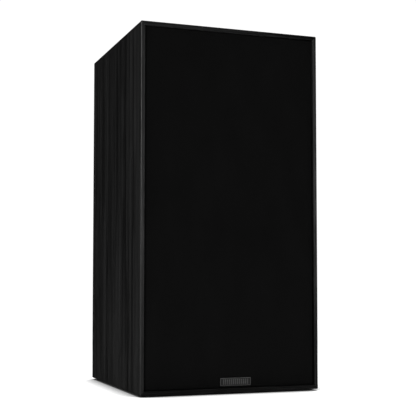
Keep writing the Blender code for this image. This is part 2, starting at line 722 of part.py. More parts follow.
INDUCTOR_X = -16 * MM
CAPACITOR_X = 19 * MM
CAPACITOR_RADIUS = 8 * MM
CAPACITOR_LENGTH = 34 * MM
LEAD_X = -76 * MM  # where the tweeter's lead passes the brace's window, near the side panel


def build_crossover(finishes):
    """A small board soldered to the terminals' shanks, with its parts on the side away from the cup."""
    board_front = BOARD_BACK - BOARD_THICKNESS
    outline = rounded_rectangle(BOARD_SIZE, BOARD_SIZE, 3 * MM, centre_z=CUP_HEIGHT, steps=2)
    board = extruded("crossover_board", outline, board_front, BOARD_BACK, finishes["board"])
    posts = [(x, BOARD_BACK, CUP_HEIGHT) for x in POST_X.values()]
    hole = mm_profile((0, -4), (2.4, -4), (2.4, 4), (0, 4))
    cut(board, drill("board_holes", hole, posts, SCREW_ROUND))
    coil = mm_profile((7, 0.3), (16, 0.3), (16, 17), (7, 17))
    turned(
        "woofer_inductor",
        coil,
        (INDUCTOR_X, board_front, CUP_HEIGHT - 17 * MM),
        finishes["copper"],
        SMALL_ROUND,
        backwards=-1,
    )
    bm = bmesh.new()
    bmesh.ops.create_cone(
        bm,
        cap_ends=True,
        segments=FINE_ROUND,
        radius1=CAPACITOR_RADIUS,
        radius2=CAPACITOR_RADIUS,
        depth=CAPACITOR_LENGTH,
    )
    add_object(
        "tweeter_capacitor",
        mesh_from(bm, "tweeter_capacitor", smooth=True),
        finishes["capacitor"],
        (CAPACITOR_X, board_front - GAP - CAPACITOR_RADIUS, CUP_HEIGHT + 10 * MM),
    )


def smooth_route(points, per_span=6):
    """Points along a smooth curve through a route's own points."""
    route = [Vector(p) for p in points]
    ends = [2 * route[0] - route[1], *route, 2 * route[-1] - route[-2]]
    curve = []
    for a, b, c, d in zip(ends, ends[1:], ends[2:], ends[3:]):
        for step in range(per_span):
            t = step / per_span
            bend = t * t * (2 * a - 5 * b + 4 * c - d) + t**3 * (3 * b - a - 3 * c + d)
            curve.append(0.5 * (2 * b + t * (c - a) + bend))
    return [*curve, route[-1]]


def build_lead(name, points, radius, finish):
    """A wire as a tube along its route."""
    data = bpy.data.curves.new(name, "CURVE")
    data.dimensions = "3D"
    data.bevel_depth = radius
    data.bevel_resolution = 2
    data.use_fill_caps = True
    route = smooth_route(points)
    spline = data.splines.new("POLY")
    spline.points.add(len(route) - 1)
    for point, place in zip(spline.points, route):
        point.co = (*place, 1.0)
    data.materials.append(finish)
    obj = bpy.data.objects.new(name, data)
    bpy.context.scene.collection.objects.link(obj)


def build_leads(finish):
    """Each driver's pair of wires, from the board to the rear of the driver's frame."""
    board_front = BOARD_BACK - BOARD_THICKNESS - GAP
    woofer_end = BAFFLE_FRONT + 65 * MM + GAP
    build_lead(
        "woofer_lead",
        [
            (24 * MM, board_front, CUP_HEIGHT - 26 * MM),
            (25 * MM, board_front - 24 * MM, CUP_HEIGHT - 26 * MM),
            (34 * MM, board_front - 52 * MM, CUP_HEIGHT - 22 * MM),
            (40 * MM, woofer_end + 46 * MM, WOOFER_HEIGHT - 44 * MM),
            (33 * MM, woofer_end + 16 * MM, WOOFER_HEIGHT - 32 * MM),
            (31.2 * MM, woofer_end, WOOFER_HEIGHT - 31.2 * MM),
        ],
        1.6 * MM,
        finish,
    )
    tweeter_end = BAFFLE_FRONT + 12.1 * MM + GAP
    build_lead(
        "tweeter_lead",
        [
            (-6 * MM, board_front, CUP_HEIGHT + 26 * MM),
            (-10 * MM, board_front - 22 * MM, CUP_HEIGHT + 32 * MM),
            (-44 * MM, board_front - 30 * MM, CUP_HEIGHT + 84 * MM),
            (LEAD_X, board_front - 34 * MM, BRACE_HEIGHT - 16 * MM),
            (LEAD_X, board_front - 38 * MM, BRACE_HEIGHT + 14 * MM),
            (-66 * MM, board_front - 74 * MM, BRACE_HEIGHT + 48 * MM),
            (-42 * MM, tweeter_end + 30 * MM, TWEETER_HEIGHT - 6 * MM),
            (-34.3 * MM, tweeter_end + 10 * MM, TWEETER_HEIGHT),
            (-34.3 * MM, tweeter_end, TWEETER_HEIGHT),
        ],
        1.2 * MM,
        finish,
    )


UPPER_WAD = 38 * MM
LOWER_WAD = 32 * MM
WAD_CORNER = 10 * MM
WAD_SIDE_SPACE = 6 * MM
WAD_FRONT_SPACE = 22 * MM
WAD_REAR_SPACE = 8 * MM


def build_damping(finish):
    """Two wads of fibre: under the top panel, and on the bottom panel ahead of the terminals."""
    width = INNER_WIDTH - 2 * WAD_SIDE_SPACE
    y_front, y_back = BAFFLE_BACK + WAD_FRONT_SPACE, REAR_PANEL_FRONT - WAD_REAR_SPACE
    upper_top = TOP - WALL - GAP
    lower_bottom = FLOOR + WALL + GAP
    for name, low, high in (
        ("upper_damping_wad", upper_top - UPPER_WAD, upper_top),
        ("lower_damping_wad", lower_bottom, lower_bottom + LOWER_WAD),
    ):
        outline = rounded_rectangle(width, high - low, WAD_CORNER, centre_z=(low + high) / 2, steps=3)
        extruded(name, outline, y_front, y_back, finish)


def main():
    clear_scene()
    vinyl = look("black_ash_vinyl", (0.015, 0.015, 0.016), 0.45)
    painted = look("black_paint", (0.012, 0.012, 0.012), 0.5)
    board = look("raw_mdf", (0.42, 0.29, 0.17), 0.8)
    steel = look("zinc_steel", (0.5, 0.5, 0.5), 0.35, 1.0)
    brass = look("gold_plate", (0.9, 0.66, 0.28), 0.22, 1.0)
    rubber = look("black_rubber", (0.012, 0.012, 0.012), 0.6)
    plastic = look("black_plastic", (0.014, 0.014, 0.014), 0.42)
    finishes = {
        "basket": look("black_steel", (0.02, 0.02, 0.02), 0.45, 0.3),
        "rubber": rubber,
        "cone": look("coated_paper", (0.018, 0.018, 0.019), 0.55),
        "spider": look("spider_cloth", (0.55, 0.38, 0.12), 0.85),
        "copper": look("copper", (0.75, 0.33, 0.16), 0.35, 1.0),
        "steel": steel,
        "ferrite": look("ferrite", (0.05, 0.05, 0.052), 0.7),
        "screw": look("black_zinc", (0.03, 0.03, 0.03), 0.35, 0.8),
        "faceplate": plastic,
        "silk": look("silk_dome", (0.014, 0.014, 0.016), 0.5),
        "cup": plastic,
        "brass": brass,
        "positive_cap": look("red_cap", (0.45, 0.01, 0.01), 0.3),
        "negative_cap": look("black_cap", (0.01, 0.01, 0.01), 0.3),
        "board": look("circuit_board", (0.05, 0.16, 0.06), 0.5),
        "capacitor": look("capacitor_wrap", (0.5, 0.33, 0.04), 0.4),
    }
    build_walls(vinyl)
    baffle = build_baffle(painted)
    rear_panel = build_rear_panel(vinyl)
    build_brace(board)
    build_feet(rubber)
    build_grille_frame(plastic)
    build_grille_cloth(look("grille_cloth", (0.008, 0.008, 0.008), 0.95))
    build_badge(look("brushed_badge", (0.22, 0.22, 0.22), 0.4, 0.8))
    build_grille_sockets(baffle, rubber)
    build_woofer(baffle, finishes)
    build_tweeter(baffle, finishes)
    build_port(rear_panel, plastic)
    build_terminal_cup(rear_panel, finishes)
    build_terminals(finishes)
    build_crossover(finishes)
    build_leads(look("lead_insulation", (0.35, 0.02, 0.02), 0.45))
    build_damping(look("polyester_fibre", (0.75, 0.74, 0.7), 0.95))


main()
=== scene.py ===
"""The looks of a two-way bookshelf loudspeaker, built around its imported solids.

Units are metres, and profiles are in millimetres. Every piece is made in place, so its own coordinates
are the frame's at rest. A "depth" runs backwards, towards +Y, from the plane that is named beside it.
"""

import json
from math import asin, cos, degrees, pi, radians, sin, tan

import bmesh
import bpy
from mathutils import Matrix, Vector, noise

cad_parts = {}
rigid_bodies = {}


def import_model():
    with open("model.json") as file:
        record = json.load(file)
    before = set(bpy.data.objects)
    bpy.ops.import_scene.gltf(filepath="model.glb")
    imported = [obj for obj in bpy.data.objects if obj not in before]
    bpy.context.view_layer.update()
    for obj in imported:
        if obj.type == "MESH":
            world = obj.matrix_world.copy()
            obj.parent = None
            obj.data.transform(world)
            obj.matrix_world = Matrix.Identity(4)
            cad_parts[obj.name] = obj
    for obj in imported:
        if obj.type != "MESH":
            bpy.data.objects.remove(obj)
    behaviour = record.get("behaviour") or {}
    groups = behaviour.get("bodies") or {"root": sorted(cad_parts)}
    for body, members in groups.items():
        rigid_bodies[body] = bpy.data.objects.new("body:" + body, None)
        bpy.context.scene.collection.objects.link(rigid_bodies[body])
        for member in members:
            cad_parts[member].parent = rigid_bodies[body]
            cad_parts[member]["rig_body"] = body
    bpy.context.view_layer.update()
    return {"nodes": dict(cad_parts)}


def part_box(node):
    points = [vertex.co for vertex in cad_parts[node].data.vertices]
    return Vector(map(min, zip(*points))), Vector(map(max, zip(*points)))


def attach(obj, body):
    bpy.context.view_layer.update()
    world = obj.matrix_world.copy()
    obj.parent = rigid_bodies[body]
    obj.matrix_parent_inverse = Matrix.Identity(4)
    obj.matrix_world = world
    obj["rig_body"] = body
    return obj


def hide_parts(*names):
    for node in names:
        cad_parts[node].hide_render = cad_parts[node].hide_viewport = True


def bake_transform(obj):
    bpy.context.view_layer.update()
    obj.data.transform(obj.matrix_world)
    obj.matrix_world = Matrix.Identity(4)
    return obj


MM = 0.001
GAP = 0.3 * MM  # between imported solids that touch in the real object
FINE, MEDIUM, SMALL, COARSE = 96, 64, 40, 24  # sides of round pieces
SHARP = radians(38)
EDGE_RADIUS = 1.4 * MM  # the cabinet's outer edges
LIP_SHARE = 0.5  # of that, on the inner edges of its lips

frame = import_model()


# Materials


def rgba(color):
    """A colour with its alpha, from three channels or one grey."""
    return (*color, 1) if isinstance(color, tuple) else (color, color, color, 1)


class Finish:
    """One Principled shader and the nodes that feed its colour, roughness and bump."""

    def __init__(self, name, color, roughness, metallic=0.0, specular=0.5):
        self.material = bpy.data.materials.new(name)
        self.material.use_nodes = True
        self.nodes = self.material.node_tree.nodes
        self.links = self.material.node_tree.links
        self.shader = self.nodes["Principled BSDF"]
        self.normal = None
        self.set("Base Color", rgba(color))
        self.set("Roughness", roughness)
        self.set("Metallic", metallic)
        self.set("Specular IOR Level", specular)

    def set(self, socket, value):
        """A value that is the same all over."""
        self.shader.inputs[socket].default_value = value

    def add(self, kind, inputs, **settings):
        node = self.nodes.new(kind)
        for key, value in settings.items():
            setattr(node, key, value)
        for key, value in inputs.items():
            if isinstance(value, bpy.types.NodeSocket):
                self.links.new(value, node.inputs[key])
            else:
                node.inputs[key].default_value = value
        return node

    def place(self, scale=(1, 1, 1), centre=(0, 0, 0)):
        """Where on the piece, measured from a centre and stretched."""
        where = self.nodes.new("ShaderNodeTexCoord").outputs["Object"]
        return self.vector("MULTIPLY", self.vector("SUBTRACT", where, centre), scale)

    def vector(self, operation, a, b):
        return self.add("ShaderNodeVectorMath", {0: a, 1: b}, operation=operation).outputs[0]

    def number(self, operation, a, b=0.0):
        return self.add("ShaderNodeMath", {0: a, 1: b}, operation=operation).outputs[0]

    def times(self, a, b):
        return self.number("MULTIPLY", a, b)

    def parts(self, where):
        return self.add("ShaderNodeSeparateXYZ", {0: where}).outputs

    def noise(self, scale, detail=2.0, roughness=0.5, where=None):
        where = self.place() if where is None else where
        values = {"Vector": where, "Scale": scale, "Detail": detail, "Roughness": roughness}
        return self.add("ShaderNodeTexNoise", values).outputs[0]

    def cells(self, scale):
        values = {"Vector": self.place(), "Scale": scale}
        return self.add("ShaderNodeTexVoronoi", values).outputs["Distance"]

    def wave(self, value, pitch):
        """0 to 1 to 0 in each pitch."""
        turns = self.times(value, 2 * pi / pitch)
        return self.spread(self.number("SINE", turns), -1, 1)

    def spread(self, value, low, high, to_low=0.0, to_high=1.0):
        values = {0: value, 1: low, 2: high, 3: to_low, 4: to_high}
        return self.add("ShaderNodeMapRange", values).outputs[0]

    def mixed(self, share, first, second):
        start = first if isinstance(first, bpy.types.NodeSocket) else rgba(first)
        values = {0: share, 6: start, 7: rgba(second)}
        return self.add("ShaderNodeMix", values, data_type="RGBA").outputs[2]

    def paint(self, color):
        self.links.new(color, self.shader.inputs["Base Color"])

    def tint(self, share, low, high, dark, light):
        """Colour that goes from dark to light while a share goes from low to high."""
        self.paint(self.mixed(self.spread(share, low, high), dark, light))

    def shine(self, share, low, high):
        self.links.new(self.spread(share, 0, 1, low, high), self.shader.inputs["Roughness"])

    def emboss(self, height, depth):
        """Relief of that depth, on top of what is there."""
        values = {"Height": height, "Distance": depth, "Strength": 1.0}
        if self.normal:
            values["Normal"] = self.normal
        self.normal = self.add("ShaderNodeBump", values).outputs[0]
        self.links.new(self.normal, self.shader.inputs["Normal"])

    def sheen(self, weight, roughness):
        self.set("Sheen Weight", weight)
        self.set("Sheen Roughness", roughness)


def black_ash(name, along, light, specular, rebate):
    """Wood-grain vinyl: long streaks, short open pores and a satin skin, with a painted highlight along the
    front edge standing in for a sheen of reflected light, and painted light or shade in the rebates.
    """
    darkest, painted_sheen = 0.0022, 0.0025  # grey between the streaks, and the grey of the painted highlight that the front band adds
    sway, waver = 8 * MM, 16 * MM  # of the streaks and of that band's edge
    look = Finish(name, 0.010, 0.4, specular=specular)
    wander = look.noise(6)
    sideways = look.vector("MULTIPLY", look.vector("SUBTRACT", wander, [0.5] * 3), [sway] * 3)

    def grain(length, scale, detail, roughness):
        stretch = [1.0, 1.0, 1.0]
        stretch[along] = length
        where = look.vector("ADD", look.place(stretch), sideways)
        return look.noise(scale, detail, roughness, where)

    figure = grain(0.01, 150, 3, 0.6)
    fibre = grain(0.012, 300, 3, 0.65)
    pores = look.spread(grain(0.03, 1300, 2, 0.6), 0.54, 0.64)
    streaks = look.number("ADD", *[look.times(part, 0.5) for part in (figure, fibre)])
    x, y, z = look.parts(look.place((1, 1, 1), (0, 0, middle_z)))
    front = cabinet_low.y
    depth = look.number("ADD", y, look.times(wander, waver))
    # Painted highlight: the grey is raised in a band near the front of the sides and the top, just behind
    # the rounded edge, in place of a reflected sheen.
    fade = look.spread(depth, front + 34 * MM, front + 48 * MM, painted_sheen, 0.0)
    edge = look.times(fade, look.spread(y, front, front + EDGE_RADIUS))
    level = look.number("ADD", look.spread(streaks, 0.40, 0.61, darkest, light), edge)
    outwards, half = (x, cabinet_high.x) if along == 2 else (z, cabinet_high.z - middle_z)
    reach = look.number("ABSOLUTE", outwards)
    # Painted light and shade in the rebates: inside the lips the grey is scaled by the rebate factor,
    # painted shade where it is below 1 and painted light where it is above 1.
    painted_rebate_light = look.spread(reach, half - lip - 0.1 * MM, half - lip + 0.4 * MM, rebate, 1.0)
    level = look.times(level, painted_rebate_light)
    dark = look.times(level, look.spread(pores, 0, 1, 1.0, 0.45))
    look.paint(look.add("ShaderNodeCombineColor", {0: dark, 1: dark, 2: dark}).outputs[0])
    look.shine(look.number("ADD", look.times(streaks, 0.5), pores), 0.34, 0.56)
    look.emboss(fibre, 0.05 * MM)
    look.emboss(look.number("SUBTRACT", 1.0, pores), 0.06 * MM)
    return look.material


def satin_paint():
    look = Finish("satin_black_paint", 0.011, 0.45)
    peel = look.noise(450)
    look.paint(look.mixed(look.noise(30, 3), 0.008, 0.015))
    look.shine(peel, 0.38, 0.55)
    look.emboss(peel, 0.04 * MM)
    return look.material


def raw_board():
    """Fibreboard: pale brown with short dark fibres."""
    look = Finish("raw_board", (0.42, 0.29, 0.17), 0.85, specular=0.2)
    fibres = look.noise(900, 4, 0.7, look.place((1, 1, 3)))
    clouds = look.noise(25, 3)
    tone = look.mixed(clouds, (0.36, 0.25, 0.145), (0.50, 0.36, 0.22))
    look.tint(fibres, 0.5, 0.75, tone, (0.22, 0.13, 0.07))
    look.emboss(fibres, 0.12 * MM)
    return look.material


def moulded(name, dark, light, rough, relief=0.05):
    """A moulding or casting: spark-eroded texture, with a little handling wear in the sheen."""
    look = Finish(name, light, rough)
    grit = look.noise(1700, 2, 0.6)
    wear = look.noise(60, 3)
    look.tint(wear, 0.3, 0.7, dark, light)
    look.shine(wear, rough - 0.07, rough + 0.09)
    look.emboss(grit, relief * MM)
    return look.material


def acoustic_cloth():
    """Stretched warp knit: rows of small loops, each row half a loop aside from the last."""
    look = Finish("acoustic_cloth", 0.0045, 0.95, specular=0.03)
    x, _, z = look.parts(look.place())
    row, loop = 1.1 * MM, 0.9 * MM
    rows = look.wave(z, row)
    aside = look.times(look.wave(z, 2 * row), loop / 2)
    loops = look.wave(look.number("ADD", x, aside), loop)
    knit = look.times(rows, loops)
    fuzz = look.noise(1500, 2, 0.7)
    drift = look.noise(35, 3, where=look.place((1, 1, 0.4)))
    tone = look.mixed(look.spread(drift, 0.3, 0.7), 0.0026, 0.0034)
    look.paint(look.mixed(look.times(knit, fuzz), tone, 0.007))
    look.emboss(knit, 0.22 * MM)
    look.emboss(fuzz, 0.06 * MM)
    look.sheen(0.014, 0.5)
    return look.material


def brushed(name, dark, light, rough):
    """Metal with fine scratches along X."""
    look = Finish(name, light, rough, 1.0)
    scratches = look.noise(4500, 2, 0.7, look.place((0.02, 1, 1)))
    look.tint(scratches, 0.35, 0.65, dark, light)
    look.shine(scratches, rough - 0.08, rough + 0.12)
    look.emboss(scratches, 0.015 * MM)
    return look.material


def badge_metal():
    """Brushed across, bright on the rim and the ribs and dark in between."""
    look = Finish("badge_metal", 0.12, 0.42, 0.7)
    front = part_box("badge_plate")[0].y
    scratches = look.noise(4500, 2, 0.7, look.place((0.02, 1, 1)))
    bright = look.mixed(look.spread(scratches, 0.35, 0.65), 0.110, 0.170)
    depth = look.parts(look.place())[1]
    look.tint(depth, front + 0.10 * MM, front + 0.22 * MM, bright, 0.030)
    look.shine(scratches, 0.34, 0.54)
    look.emboss(scratches, 0.015 * MM)
    return look.material


def plated(name, dark, light, rough):
    """Turned and plated metal: faint rings, side by side along Y."""
    look = Finish(name, light, rough, 1.0)
    rings = look.wave(look.parts(look.place())[1], 0.22 * MM)
    stain = look.noise(260, 3)
    look.tint(stain, 0.35, 0.7, dark, light)
    look.shine(stain, rough - 0.06, rough + 0.14)
    look.emboss(rings, 0.006 * MM)
    return look.material


def rubber():
    look = Finish("black_rubber", 0.014, 0.62, specular=0.35)
    dust = look.noise(700, 4, 0.7)
    look.tint(dust, 0.45, 0.8, 0.011, 0.024)
    look.shine(dust, 0.5, 0.72)
    look.emboss(dust, 0.02 * MM)
    return look.material


def coated_paper():
    """Pulp with short fibres under a thin black coat."""
    look = Finish("coated_paper", (0.02, 0.02, 0.021), 0.52)
    pulp = look.noise(420, 5, 0.72)
    look.tint(pulp, 0.35, 0.7, 0.012, (0.028, 0.028, 0.029))
    look.shine(pulp, 0.42, 0.62)
    look.emboss(pulp, 0.11 * MM)
    return look.material


def woven(name, dark, light, pitch, rough, relief):
    """A fine plain weave, seen along Y."""
    look = Finish(name, light, rough, specular=0.35)
    x, _, z = look.parts(look.place())
    threads = look.times(look.wave(x, pitch), look.wave(z, pitch))
    slub = look.noise(500, 3)
    look.paint(look.mixed(look.times(threads, slub), dark, light))
    look.emboss(threads, relief)
    return look.material


def windings(name, pitch):
    """Enamelled copper wire wound side by side along Y, with painted shade in the grooves between the turns.
    """
    look = Finish(name, (0.72, 0.30, 0.13), 0.32, 1.0)
    turns = look.wave(look.parts(look.place())[1], pitch)
    enamel = look.noise(300, 3)
    tone = look.mixed(enamel, (0.50, 0.17, 0.07), (0.80, 0.36, 0.17))
    # Painted shade: the colour darkens to a deep brown in the grooves between turns.
    look.paint(look.mixed(look.spread(turns, 0.0, 0.35, 1.0, 0.0), tone, (0.10, 0.03, 0.015)))
    look.shine(enamel, 0.22, 0.42)
    look.emboss(turns, 0.3 * pitch)
    return look.material


def circuit_board():
    """Green mask over tracks, which stand out a little."""
    look = Finish("circuit_board", (0.03, 0.14, 0.05), 0.38)
    tracks = look.spread(look.cells(130), 0.28, 0.34)
    look.paint(look.mixed(tracks, (0.05, 0.20, 0.07), (0.02, 0.10, 0.035)))
    look.shine(look.noise(300), 0.28, 0.45)
    look.emboss(tracks, 0.05 * MM)
    return look.material


def wadding():
    """Loose polyester fibres."""
    look = Finish("wadding", (0.78, 0.77, 0.74), 0.95, specular=0.15)
    fibres = look.noise(600, 5, 0.8, look.place((1, 0.3, 1)))
    look.paint(look.mixed(fibres, (0.55, 0.54, 0.51), (0.86, 0.85, 0.82)))
    look.emboss(fibres, 0.8 * MM)
    look.sheen(0.3, 0.6)
    return look.material


# Building blocks


def linked(name, data):
    """A new object in the scene."""
    made = bpy.data.objects.new(name, data)
    bpy.context.scene.collection.objects.link(made)
    return made


def to_mesh(bm, name):
    """Close off a bmesh: faces outwards, smooth where the surface is round."""
    bmesh.ops.recalc_face_normals(bm, faces=bm.faces)
    mesh = bpy.data.meshes.new(name)
    bm.to_mesh(mesh)
    bm.free()
    mesh.shade_smooth()
    mesh.set_sharp_from_angle(angle=SHARP)
    return mesh


def skin(bm, rings, whole):
    """Faces from each ring of points to the next, and round to the first again or with shut ends."""
    for near, far in zip(rings, rings[1:] + (rings[:1] if whole else [])):
        for i in range(len(near)):
            j = (i + 1) % len(near)
            corners = list(dict.fromkeys((near[i], near[j], far[j], far[i])))
            if len(corners) > 2:
                bm.faces.new(corners)
    if not whole:
        bm.faces.new(rings[0])
        bm.faces.new(rings[-1])


def smooth_corners(points, radius, steps=3):
    """A closed outline with its sharp corners rounded; points on the axis stay."""
    made = []
    for i, here in enumerate(points):
        here = Vector(here)
        before = Vector(points[i - 1]) - here
        after = Vector(points[(i + 1) % len(points)]) - here
        opening = before.angle(after)
        if here.x < 1e-6 or opening > radians(150):
            made.append(tuple(here))
            continue
        reach = min(radius / tan(opening / 2), 0.4 * before.length, 0.4 * after.length)
        start = here + before.normalized() * reach
        end = here + after.normalized() * reach
        for step in range(steps + 1):
            t = step / steps
            made.append(tuple((1 - t) ** 2 * start + 2 * t * (1 - t) * here + t * t * end))
    return made


def arc(centre_r, centre_depth, radius, first, last, steps):
    """Points on a circle of a profile; 0 degrees is outwards and 90 degrees forwards, to less depth."""
    angles = [radians(first + (last - first) * i / steps) for i in range(steps + 1)]
    return [(centre_r + radius * cos(a), centre_depth - radius * sin(a)) for a in angles]


def tube(inner, outer, near, far):
    """The profile of a plain ring between two radii and two depths."""
    return [(inner, near), (outer, near), (outer, far), (inner, far)]


def mirrored(end, length):
    """The profile of a turned piece of some length, with the same shape at both ends."""
    return [*end, *[(radius, length - depth) for radius, depth in reversed(end)]]


def repeated(points, count, start, pitch):
    """Part of a profile over and over, a pitch deeper each time."""
    return [(radius, start + i * pitch + depth) for i in range(count) for radius, depth in points]


def dome(rim, height, rim_depth, steps, inset=0.0):
    """The profile of a dome from its crown to its rim, or of a parallel skin an inset below it."""
    sphere = (rim**2 + height**2) / (2 * height)
    half_angle = degrees(asin(rim / sphere))
    points = arc(0, rim_depth + sphere - height, sphere - inset, 90, 90 - half_angle, steps)
    return [(0, points[0][1]), *points[1:]]


def spun(name, profile, centre, segments=FINE, backwards=1, first=0.0, sweep=360.0, shape=None, soft=0):
    """Spin a closed (radius, depth) outline, with soft corners, about the line along Y through a centre."""
    if soft:
        profile = smooth_corners(profile, soft)
    bm = bmesh.new()
    whole = sweep >= 360
    stops = segments if whole else segments + 1
    rings = []
    axis = {}
    for stop in range(stops):
        angle = radians(first + sweep * stop / segments)
        ring = []
        for i, (radius, depth) in enumerate(profile):
            if radius < 1e-6:
                if i not in axis:
                    axis[i] = bm.verts.new((centre[0], centre[1] + backwards * depth * MM, centre[2]))
                ring.append(axis[i])
                continue
            r = (shape(radius, depth, angle) if shape else radius) * MM
            x = centre[0] + r * cos(angle)
            z = centre[2] + r * sin(angle)
            ring.append(bm.verts.new((x, centre[1] + backwards * depth * MM, z)))
        rings.append(ring)
    skin(bm, rings, whole)
    return to_mesh(bm, name)


def rounded_rectangle(width, height, radius, centre_x=0.0, centre_z=0.0, steps=6):
    points = []
    for quarter, (sx, sz) in enumerate(((1, 1), (-1, 1), (-1, -1), (1, -1))):
        for step in range(steps + 1):
            angle = pi / 2 * (quarter + step / steps)
            x = centre_x + sx * (width / 2 - radius) + radius * cos(angle)
            z = centre_z + sz * (height / 2 - radius) + radius * sin(angle)
            points.append((x, z))
    return points


def lofted(name, sections):
    """A closed skin through outlines, each a (points, y), with a flat end on the first and the last."""
    bm = bmesh.new()
    rings = [[bm.verts.new((x, y, z)) for x, z in points] for points, y in sections]
    skin(bm, rings, False)
    return to_mesh(bm, name)


def evaluated(mesh, *modifiers):
    """A mesh after modifiers, each a (kind, settings)."""
    holder = linked("holder", mesh)
    for kind, settings in modifiers:
        modifier = holder.modifiers.new(kind, kind)
        for key, value in settings.items():
            setattr(modifier, key, value)
    bpy.context.view_layer.update()
    made = bpy.data.meshes.new_from_object(holder.evaluated_get(bpy.context.evaluated_depsgraph_get()))
    bpy.data.objects.remove(holder)
    return made


def carved(mesh, *cutters, operation="DIFFERENCE"):
    """A mesh after Boolean cuts, or joins, by other meshes."""
    tools = []
    modifiers = []
    for cutter in cutters:
        tool = linked("tool", cutter)
        tools.append(tool)
        modifiers.append(("BOOLEAN", {"operation": operation, "solver": "EXACT", "object": tool}))
    made = evaluated(mesh, *modifiers)
    for tool in tools:
        bpy.data.objects.remove(tool)
    made.shade_smooth()
    made.set_sharp_from_angle(angle=SHARP)
    return made


def softened(mesh, width):
    """A mesh with its edges rounded off."""
    bevel = {"width": width, "segments": 2, "harden_normals": True}
    bevel |= {"limit_method": "ANGLE", "angle_limit": radians(40)}
    mesh.shade_smooth()
    return evaluated(mesh, ("BEVEL", bevel))


def packed_mesh(node):
    """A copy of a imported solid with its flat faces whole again."""
    bm = bmesh.new()
    bm.from_mesh(frame["nodes"][node].data)
    bmesh.ops.remove_doubles(bm, verts=bm.verts, dist=1e-6)
    bmesh.ops.dissolve_limit(bm, angle_limit=radians(0.5), verts=bm.verts, edges=bm.edges)
    return to_mesh(bm, node)


def bar(bm, low, high):
    """A plain block between two corners, added to a bmesh."""
    size = Vector(high) - Vector(low)
    middle = (Vector(high) + Vector(low)) / 2
    matrix = Matrix.Translation(middle) @ Matrix.Diagonal((*size, 1))
    bmesh.ops.create_cube(bm, size=1, matrix=matrix)


def block(name, low, high):
    """A plain block as a mesh."""
    bm = bmesh.new()
    bar(bm, low, high)
    return to_mesh(bm, name)


def stood(mesh, place):
    """A mesh with the line along Y turned upright, moved to a place."""
    mesh.transform(Matrix.Translation(place) @ Matrix.Rotation(pi / 2, 4, "X"))
    return mesh


def piece(name, mesh, look, node):
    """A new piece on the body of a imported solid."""
    made = linked(name, mesh)
    mesh.materials.clear()
    mesh.materials.append(look)
    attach(made, frame["nodes"][node]["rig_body"])
    return made


def stand_in(node, mesh, look):
    """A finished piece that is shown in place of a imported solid."""
    made = piece(f"{node}_finished", mesh, look, node)
    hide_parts(node)
    return made


def middle_of(node):
    low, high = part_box(node)
    return (low + high) / 2


def axis_at(node, y):
    """Where the line along Y through the middle of a node passes a plane."""
    middle = middle_of(node)
    return Vector((middle.x, y, middle.z))


def centre_of(node):
    """The point of a turned piece's axis on the baffle's front."""
    return axis_at(node, baffle_low.y)


def foot_of(node):
    """The middle of a node's underside."""
    middle = middle_of(node)
    return Vector((middle.x, middle.y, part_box(node)[0].z))


# Planes of the frame, and its nodes that come in rows

left_low, left_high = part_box("left_side_panel")
cabinet_low = Vector((left_low.x, left_low.y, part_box("bottom_panel")[0].z))
cabinet_high = Vector((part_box("right_side_panel")[1].x, left_high.y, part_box("top_panel")[1].z))
wall = left_high.x - cabinet_low.x
baffle_low, baffle_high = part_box("front_baffle")
rear_low, rear_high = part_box("rear_panel")
lip = baffle_low.x - GAP - cabinet_low.x
middle_z = (cabinet_low.z + cabinet_high.z) / 2
flange_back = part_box("terminal_cup")[1].y
well_floor = flange_back - 30 * MM

SOCKETS = [f"grille_socket_{height}_{side}" for height in ("lower", "upper") for side in ("left", "right")]
WOOFER_SCREWS = [f"woofer_screw_{i}" for i in (1, 2, 3, 4)]
TWEETER_SCREWS = [f"tweeter_screw_{i}" for i in (1, 2, 3)]
CUP_SCREWS = [f"cup_screw_{i}" for i in (1, 2, 3, 4)]
POLES = ("negative", "positive")
FEET = [f"foot_{end}_{side}" for end in ("front", "rear") for side in ("left", "right")]
HOLE_TURN = 4.0  # degrees, so that no corner of a screw hole meets one of the round piece around it


# Cabinet


def cabinet_shell():
    """The four walls as one ring with rebates in front and behind, with bevel weights on its outer edges and
    the edges of its lips, for rounding them.
    """
    width = cabinet_high.x - cabinet_low.x
    height = cabinet_high.z - cabinet_low.z
    ledge_front, ledge_back = baffle_high.y + GAP, rear_low.y - GAP
    front, back = cabinet_low.y, cabinet_high.y
    section = [
        (0, front), (lip, front), (lip, ledge_front), (wall, ledge_front),
        (wall, ledge_back), (lip, ledge_back), (lip, back), (0, back),
    ]
    bm = bmesh.new()
    weight = bm.edges.layers.float.new("bevel_weight_edge")
    rings = []
    for inset, y in section:
        x, z = width / 2 - inset, height / 2 - inset
        corners = ((-x, -z), (x, -z), (x, z), (-x, z))
        rings.append([bm.verts.new((cx, y, middle_z + cz)) for cx, cz in corners])
    skin(bm, rings, True)
    for edge in bm.edges:
        insets = [round(width / 2 - abs(v.co.x), 5) for v in edge.verts]
        at_face = all(min(abs(v.co.y - front), abs(v.co.y - back)) < GAP for v in edge.verts)
        if insets == [0, 0]:
            edge[weight] = 1.0
        elif at_face and insets[0] == insets[1]:
            edge[weight] = LIP_SHARE
    return to_mesh(bm, "cabinet_shell")


def mitred(shell, side):
    """One wall of the shell, cut at the two mitres."""
    x, z = {"left_side": (-1, 0), "right_side": (1, 0), "top": (0, 1), "bottom": (0, -1)}[side]
    half_width, half_height = cabinet_high.x, cabinet_high.z - middle_z
    bm = bmesh.new()
    bm.from_mesh(shell)
    for end in (1, -1):
        corner = Vector(((x or end) * half_width, 0, middle_z + (z or end) * half_height))
        cut = {"plane_co": corner, "plane_no": (-x or end, 0, -z or end), "dist": 1e-7}
        every = bm.verts[:] + bm.edges[:] + bm.faces[:]
        bmesh.ops.bisect_plane(bm, geom=every, clear_outer=True, **cut)
        bmesh.ops.contextual_create(bm, geom=[edge for edge in bm.edges if edge.is_boundary])
    return to_mesh(bm, side)


